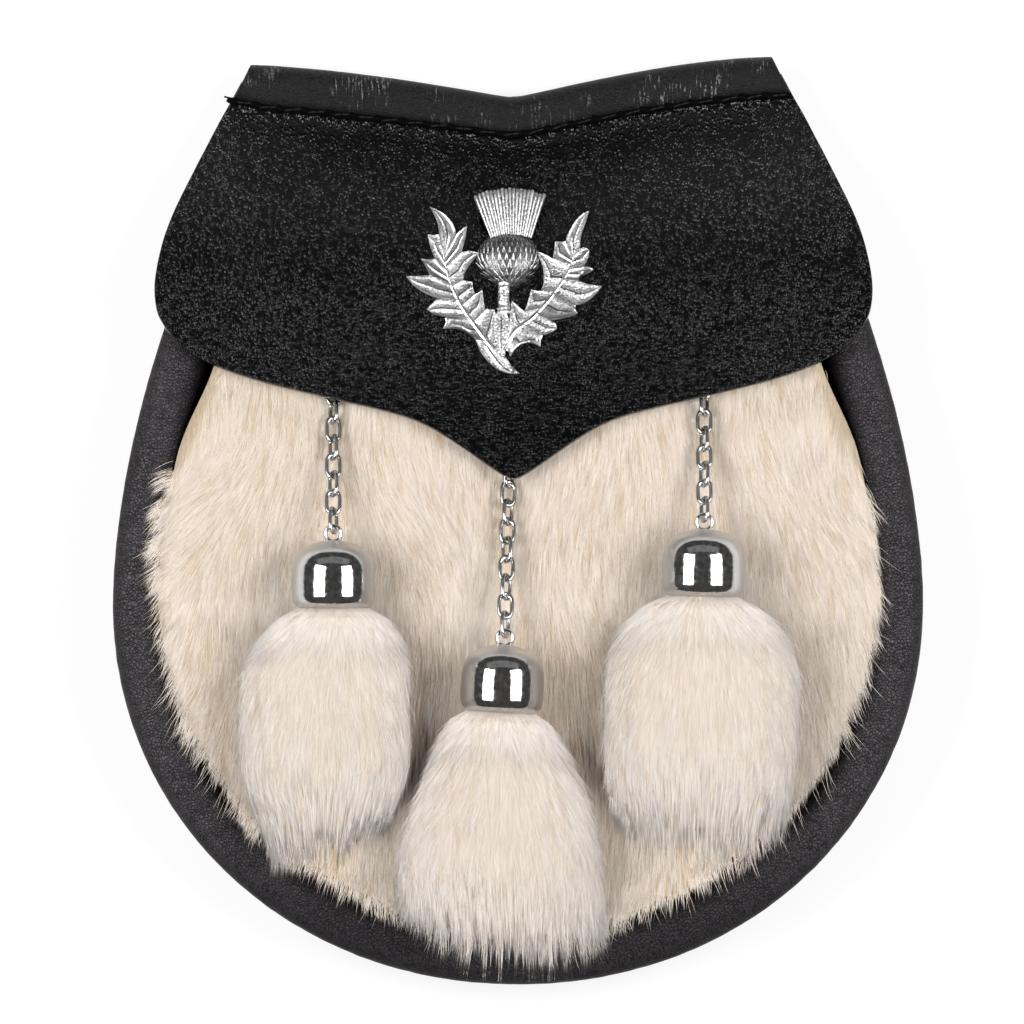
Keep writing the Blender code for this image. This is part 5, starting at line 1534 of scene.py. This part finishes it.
def fur_panel(hair, undercoat):
    """The rabbit skin on the front: matted undercoat, lying hairs, and hairs over the rim."""
    bed, roof, inside = bed_and_roof()
    room = Heights(lambda x, y: float(np.clip(roof.at(x, y) - bed.at(x, y) - GAP, 0.4 * MM, PILE)))
    room.softened(1)
    top = 64 * MM
    inset = RIM_WIDTH + 0.5 * MM
    low_room = Heights(lambda x, y: float(room.at(x, y))).lowest_near(4.5 * MM).softened(3)

    def coat_z(x, y):
        thick = float(low_room.at(x, y)) * (0.42 + 0.05 * float(waves(x, y, 8 * MM, 21)))
        edge = float(ease(inside.at(x, y), 0.80, 0.875))
        return float(bed.at(x, y)) + mix(thick, 0.5 * MM, edge) - HIDE * 0.3

    middle = Vector((0.0, BELLY_Y))
    outline = []
    for point in closed_edge(top, inset, 180):
        short = float(fur_edge(point.x, point.y)) - 0.016 - edge_share(point.x, point.y)
        outline.append(point + (point - middle).normalized() * short * HALF_WIDTH)
    base = disc(outline, 36, coat_z)
    piece = finished("fur_undercoat", base, undercoat, stands_for=("fur_panel",))
    thicken(piece, HIDE * 0.6)

    rng = np.random.default_rng(8)
    lower_x = [point.x for point in flap_lower_line]
    lower_y = [point.y for point in flap_lower_line]

    def lie(name, x, y, lengths, turns, clump, guides, lifts, rings, width, overhang):
        """Hairs rooted on the skin: they follow the flow, gather, and rise towards their tips."""
        pull = np.minimum(1.0, (fur_edge(x, y) - 0.01) / np.maximum(inside.at(x, y), 0.01))
        x, y = x * pull, BELLY_Y + (y - BELLY_Y) * pull
        start = np.stack([x, y], 1)
        paths = np.zeros((len(x), rings, 3))
        wander = waves(x, y, 6 * MM, 51) * 0.008
        edge = fur_edge(x, y)
        for _ in range(5):
            here = start
            step = (lengths / (rings - 1))[:, None]
            for k in range(rings):
                paths[:, k, :2] = here
                turn = turns(here[:, 0], here[:, 1], k / (rings - 1))
                here = here + np.stack([np.sin(turn), -np.cos(turn)], 1) * step
            limit = edge + wander + (0.0 if overhang is None else overhang)
            over = inside.at(paths[:, -1, 0], paths[:, -1, 1]) > limit
            lengths = np.where(over, lengths * 0.8, lengths)
        paths = gather(paths, rng, guides, clump)
        rooms = np.stack([room.at(paths[:, k, 0], paths[:, k, 1]) for k in range(rings)])
        full = rng.uniform(0.5, 1.0, len(x))
        ground = None
        for k in range(rings):
            rise = np.min(rooms[max(0, k - 1):k + 2], axis=0) * full
            below = bed.at(paths[:, k, 0], paths[:, k, 1])
            ground = below if k == 0 else np.maximum(below, ground - 0.8 * MM)
            lift = rise * lifts[k]
            if k and overhang is not None:
                lift = np.maximum(lift, 0.55 * MM)
            paths[:, k, 2] = ground + lift - (0.2 * MM if k == 0 else 0.0)
            if k and overhang is not None:
                half_way = (paths[:, k - 1, :2] + paths[:, k, :2]) / 2
                clear = 2 * (bed.at(half_way[:, 0], half_way[:, 1]) + 0.35 * MM) - paths[:, k - 1, 2]
                highest = paths[:, k, 2] + 1.2 * MM
                paths[:, k, 2] = np.clip(clear, paths[:, k, 2], highest)
        taper = np.interp(np.linspace(0, 1, rings), (0, 0.45, 0.8, 1.0), (0.9, 1.0, 0.62, 0.0))
        widths = taper[None] * width * rng.uniform(0.75, 1.25, (len(x), 1))
        facing = np.zeros_like(paths)
        tilt = 0.22 * waves(paths[..., 0], paths[..., 1], 7 * MM, 33)
        facing[..., 0], facing[..., 1], facing[..., 2] = tilt, tilt * 0.6, 1.0
        strands(name, paths, widths, rng.uniform(0, 1, len(x)), facing, hair)

    for name, low, high in (("fur_pile_upper", -16, 56), ("fur_pile_lower", -102, -10)):
        x = rng.uniform(-90, 90, PILE_HAIRS * 5) * MM
        y = rng.uniform(low, high, PILE_HAIRS * 5) * MM
        flap_y = np.interp(np.abs(x - FLAP_MID_X), lower_x, lower_y)
        shown = (inside.at(x, y) < fur_edge(x, y) - 0.02) & (y < flap_y + 13 * MM)
        buried = (room.at(x, y) < 0.5 * PILE) & (y < flap_y - 4 * MM)
        keep = shown & (~buried | (rng.uniform(0, 1, len(x)) < 0.35))
        x, y = x[keep][:PILE_HAIRS], y[keep][:PILE_HAIRS]
        wobble = rng.normal(0, 0.08, len(x))
        lie(name, x, y, rng.uniform(13, 20, len(x)) * MM, lambda px, py, t: flow(px, py) + wobble,
            0.36, len(x) // 18, (0.42, 0.85, 1.0), 3, 0.145 * MM, None)

    edge_line = np.array([tuple(p) for p in round_bottom(44 * MM, RIM_WIDTH + 2.5 * MM, 800)])
    count = FRINGE_HAIRS
    pick = rng.integers(0, len(edge_line), count)
    pull_in = 1.0 - 0.035 * ease(edge_line[pick, 1], 8 * MM, 20 * MM)
    x = edge_line[pick, 0] * pull_in + rng.normal(0, 1.5, count) * MM
    y = edge_line[pick, 1] + rng.normal(0, 1.5, count) * MM
    fuller = np.clip(0.5 + 0.6 * waves(x, y, 9 * MM, 12), 0, 1.3)
    left = ease(-x, -30 * MM, 60 * MM)
    lengths = (rng.uniform(3.5, 7.5, count) + (2.0 + 3.0 * left) * fuller ** 2) * MM
    lengths = lengths * mix(1.0, 0.5, ease(y, 8 * MM, 20 * MM))
    straight_side = ease(y, -52 * MM, -38 * MM) * ease(-y, -12 * MM, -4 * MM)
    lengths = lengths * mix(1.0, 0.5, straight_side)
    long_one = (rng.uniform(0, 1, count) < 0.03) & (y < 5 * MM)
    lengths = np.where(long_one, rng.uniform(11, 17, count) * MM, lengths)
    outwards = np.arctan2(x, -(y - BELLY_Y))
    wobble = rng.normal(0, 0.16, count)
    lie("fur_fringe", x, y, lengths, lambda px, py, t: flow(px, py) * 0.7 + outwards * 0.3 + wobble,
        0.6, count // 16, (0.30, 0.42, 0.45, 0.40), 4, 0.12 * MM, 0.01 + 0.07 * long_one)

    x, y, lengths, turns, bends = [], [], [], [], []
    for row in TUFTS:
        count = row["hairs"]
        x += list(row["x"] * MM + rng.normal(0, row["spread"], count) * MM)
        y += list(row["y"] * MM + rng.normal(0, row["spread"], count) * MM)
        lengths += list(row["length"] * MM * rng.uniform(0.55, 1.1, count))
        turns += list(math.radians(row["turn"]) + rng.normal(0, 0.2, count))
        bends += list(math.radians(row["bend"]) + rng.normal(0, 0.15, count))
    x, y, lengths, turns, bends = (np.array(held) for held in (x, y, lengths, turns, bends))
    lie("fur_tufts", x, y, lengths, lambda px, py, t: turns + bends * t, 0.5, len(x) // 12,
        (0.45, 0.55, 0.60, 0.55), 4, 0.10 * MM, 0.05)
    return bed


def tassel_outline(drop, share):
    """Half the width of a tassel at a share of its length."""
    open_share = 1.0 - (1.0 - np.clip(np.asarray(share) / drop["opens"], 0, 1)) ** 2
    closing = mix(1.0, drop["end_width"], ease(share, 0.55, 1.02))
    neck = BELL_MOUTH_RADIUS - 2.1 * MM + 3.0 * MM * ease(share, 0.0, 0.03)
    return mix(neck, drop["tassel_width"] * MM / 2, open_share) * closing


def tassel(drop, bed, hair, undercoat):
    """A full bunch of long hair that comes out of its cap and lies on the fur."""
    rng = np.random.default_rng(drop["seed"])
    start, along = drop_frame(drop)
    side = np.array((-along.y, along.x, 0.0))
    mouth = np.array(start + along * BELL_HEIGHT)
    along = np.array(along)
    length = drop["tassel_length"] * MM

    def middle(share):
        """The bunch's middle line: it sinks from the cap's axis till it lies on the fur."""
        at = mouth[None] + along[None] * (length * share)[:, None]
        sideways = drop["lean"] * ease(share, 0.0, 0.35) + drop["swing"] * ease(share, 0.5, 1.0)
        at = at + side[None] * (sideways * MM)[:, None]
        floor = bed.at(at[:, 0], at[:, 1]) + FUR_BED * 0.8
        thick = TASSEL_HALF_HEIGHT * mix(1.0, 0.62, ease(share, 0.55, 1.0))
        at[:, 2] = mix(at[:, 2], floor + thick, ease(share, 0.05, 0.45))
        return at, thick

    def point(turn, share, full):
        """Arrays of turns round the tassel, shares of its length and of its thickness."""
        wide = tassel_outline(drop, share)
        at, thick = middle(share)
        tall = mix(np.minimum(wide, thick), thick, ease(share, 0.0, 0.4)) * full
        x = at[:, 0] + side[0] * np.cos(turn) * wide * full
        y = at[:, 1] + side[1] * np.cos(turn) * wide * full
        z = at[:, 2] + np.sin(turn) * tall
        low = bed.at(x, y) + FUR_BED * 0.8
        return np.stack([x, y, np.where(share > 0.04, np.maximum(z, low), z)], 1)

    name = "tassel_" + drop["name"]

    def core_place(u, v):
        turn = 2 * math.pi * (u % 1.0)
        share = mix(-0.10, 0.87, v)
        locks = 0.03 * math.sin(9 * turn + 3 * v + drop["seed"]) * float(ease(v, 0.15, 0.6))
        closing = float(np.clip((v - 0.70) / 0.30, 0.0, 1.0))
        full = (0.93 + locks) * math.sqrt(max(0.0, 1.0 - closing ** 2)) + 0.002
        return Vector(point(np.array([turn]), np.array([share]), np.array([full]))[0])

    finished(name + "_core", closed_body(64, 36, core_place), undercoat,
             stands_for=(name,))

    count, rings = TASSEL_HAIRS, 3
    turn = rng.uniform(-0.45, math.pi + 0.45, count)
    under = rng.uniform(0, 1, count) < 0.12
    turn = np.where(under, rng.uniform(math.pi, 2 * math.pi, count), turn)
    lock_turns = rng.uniform(0, 2 * math.pi, TASSEL_LOCKS)
    lock_ends = np.minimum(rng.normal(0, 0.045, TASSEL_LOCKS), 0.05)
    lock_ends = lock_ends + drop["slant"] * np.cos(lock_turns)
    nearest = np.abs(np.angle(np.exp(1j * (turn[:, None] - lock_turns[None])))).argmin(1)
    shift = np.angle(np.exp(1j * (lock_turns[nearest] - turn)))
    shorter = drop["short_sides"] * np.abs(np.cos(turn)) ** 3
    end = 0.985 + lock_ends[nearest] - 0.12 * rng.uniform(0, 1, count) ** 2 - shorter
    longest = rng.uniform(0, 1, count) < 0.06
    end = np.where(longest, end + rng.uniform(0.0, 0.05, count), end)
    end = np.minimum(end, 1.04)
    root = 0.88 * rng.uniform(0, 1, count) ** 0.78
    at_cap = rng.uniform(0, 1, count) < 0.22
    root = np.where(at_cap, -0.012, root)
    reach = np.where(at_cap, rng.uniform(0.07, 0.27, count),
                     mix(0.12, 0.30, ease(root, 0.1, 0.7)) * rng.uniform(0.85, 1.15, count))
    reach = np.minimum(reach, end - root)
    too_short, shortest = reach < 0.09, 0.14
    root = np.where(too_short, end - shortest, root)
    reach = np.where(too_short, shortest, reach)
    deep = rng.uniform(0.92, 1.01, count)
    flick = np.abs(rng.normal(0, 0.045, count))
    flick = np.where(rng.uniform(0, 1, count) < 0.08, rng.uniform(0.07, 0.16, count), flick)
    paths = np.zeros((count, rings, 3))
    facing = np.zeros_like(paths)
    for k in range(rings):
        t = k / (rings - 1)
        share = root + reach * t
        late = ease(share, 0.6, 0.95)
        gathered = turn + shift * mix(0.2, 0.55, late) * t ** 1.2
        fan = 1.0 - 1.15 * ease(share, 0.40, 0.85)
        gathered = gathered - 1.9 * reach * t * np.cos(turn) * fan
        full = deep * mix(0.97, 1.0, t) + flick * t * t
        full = np.where(share < 0.0, np.minimum(full, 0.95), full)
        paths[:, k] = point(gathered, share, full)
        facing[:, k] = (side[None] * (np.cos(gathered) * 0.48)[:, None]
                        + along[None] * (0.5 * (1 - ease(share, 0.1, 0.6))
                                         - 0.25)[:, None] * -1.0)
        facing[:, k, 2] = np.abs(np.sin(gathered)) + 0.50
    facing /= np.linalg.norm(facing, axis=2, keepdims=True)
    widths = np.array([0.12, 0.14, 0.0])[None] * MM * rng.uniform(0.75, 1.2, (count, 1))
    strands(name + "_hair", paths, widths, rng.uniform(0, 1, count), facing, hair)


# -------------------------------------------------------------------- build

def dress_solid(node, look):
    """A finish for a hidden piece that keeps its solid."""
    materials = nodes[node].data.materials
    materials.clear()
    materials.append(look)


camera()
studio()
smooth = plain_leather("smooth_leather", (0.006, 0.0050, 0.006), (0.066, 0.056, 0.065), 1300.0,
                       0.13 * MM, 0.42, 0.35, painted_shade_by_mark=True)
band_leather = plain_leather("band_leather", (0.003, 0.0026, 0.0027), (0.018, 0.0165, 0.0175), 1900.0,
                             0.07 * MM, 0.46, 0.20, rubbed=0.9, painted_shade_by_mark=True)
backing = plain_leather("back_leather", (0.008, 0.0073, 0.0066), (0.026, 0.023, 0.021), 1300.0,
                        0.04 * MM, 0.60, 0.35)
chrome = polished_chrome("polished_chrome", 0.06, 0.17)
chain_metal = polished_chrome("chain_metal", 0.15, 0.26)
cast = cast_metal()
thread = waxed_thread()
# Near black: the stitch holes' own darkness, and painted shadow along the seam's groove.
holes_and_groove_shadow = plain_leather("holes_and_groove_shadow", (0.001, 0.001, 0.001), (0.0015, 0.0015, 0.0015),
                             1300.0, 0.02 * MM, 0.75, 0.05)
# The first colour is the roots': partly their own tone, partly painted shade.
fur_hair = fur_look("rabbit_fur", (0.80, 0.665, 0.50), (0.925, 0.83, 0.735), (0.96, 0.888, 0.832),
                    (0.92, 0.86, 0.79, 1))
# The undercoat's colours: partly its own, partly painted shade in the gaps of the fur.
fur_coat = undercoat_look("fur_undercoat", (0.57, 0.43, 0.28), (0.76, 0.62, 0.46))
# The first colour is the roots': partly their own tone, partly painted shade.
tassel_hair = fur_look("tassel_fur", (0.84, 0.75, 0.66), (0.908, 0.845, 0.80), (0.938, 0.888, 0.858),
                       (0.935, 0.895, 0.85, 1))
tassel_coat = undercoat_look("tassel_undercoat", (0.67, 0.56, 0.45), (0.81, 0.71, 0.61))

rim_roll(smooth)
back_and_front(backing)
gusset(backing)
flap(pebbled_leather())
top_band(band_leather)
seam_stitches(thread, holes_and_groove_shadow)
for name in nodes:
    if name.startswith("chain_anchor") or name == "snap_stud":
        dress_solid(name, chain_metal)
    elif name.startswith("chain_"):
        link(name, chain_metal)
    elif name.startswith("belt_loop"):
        dress_solid(name, backing)
thistle_badge(cast)
bed = fur_panel(fur_hair, fur_coat)
for drop in DROPS:
    bell(drop, chrome)
    tassel(drop, bed, tassel_hair, tassel_coat)
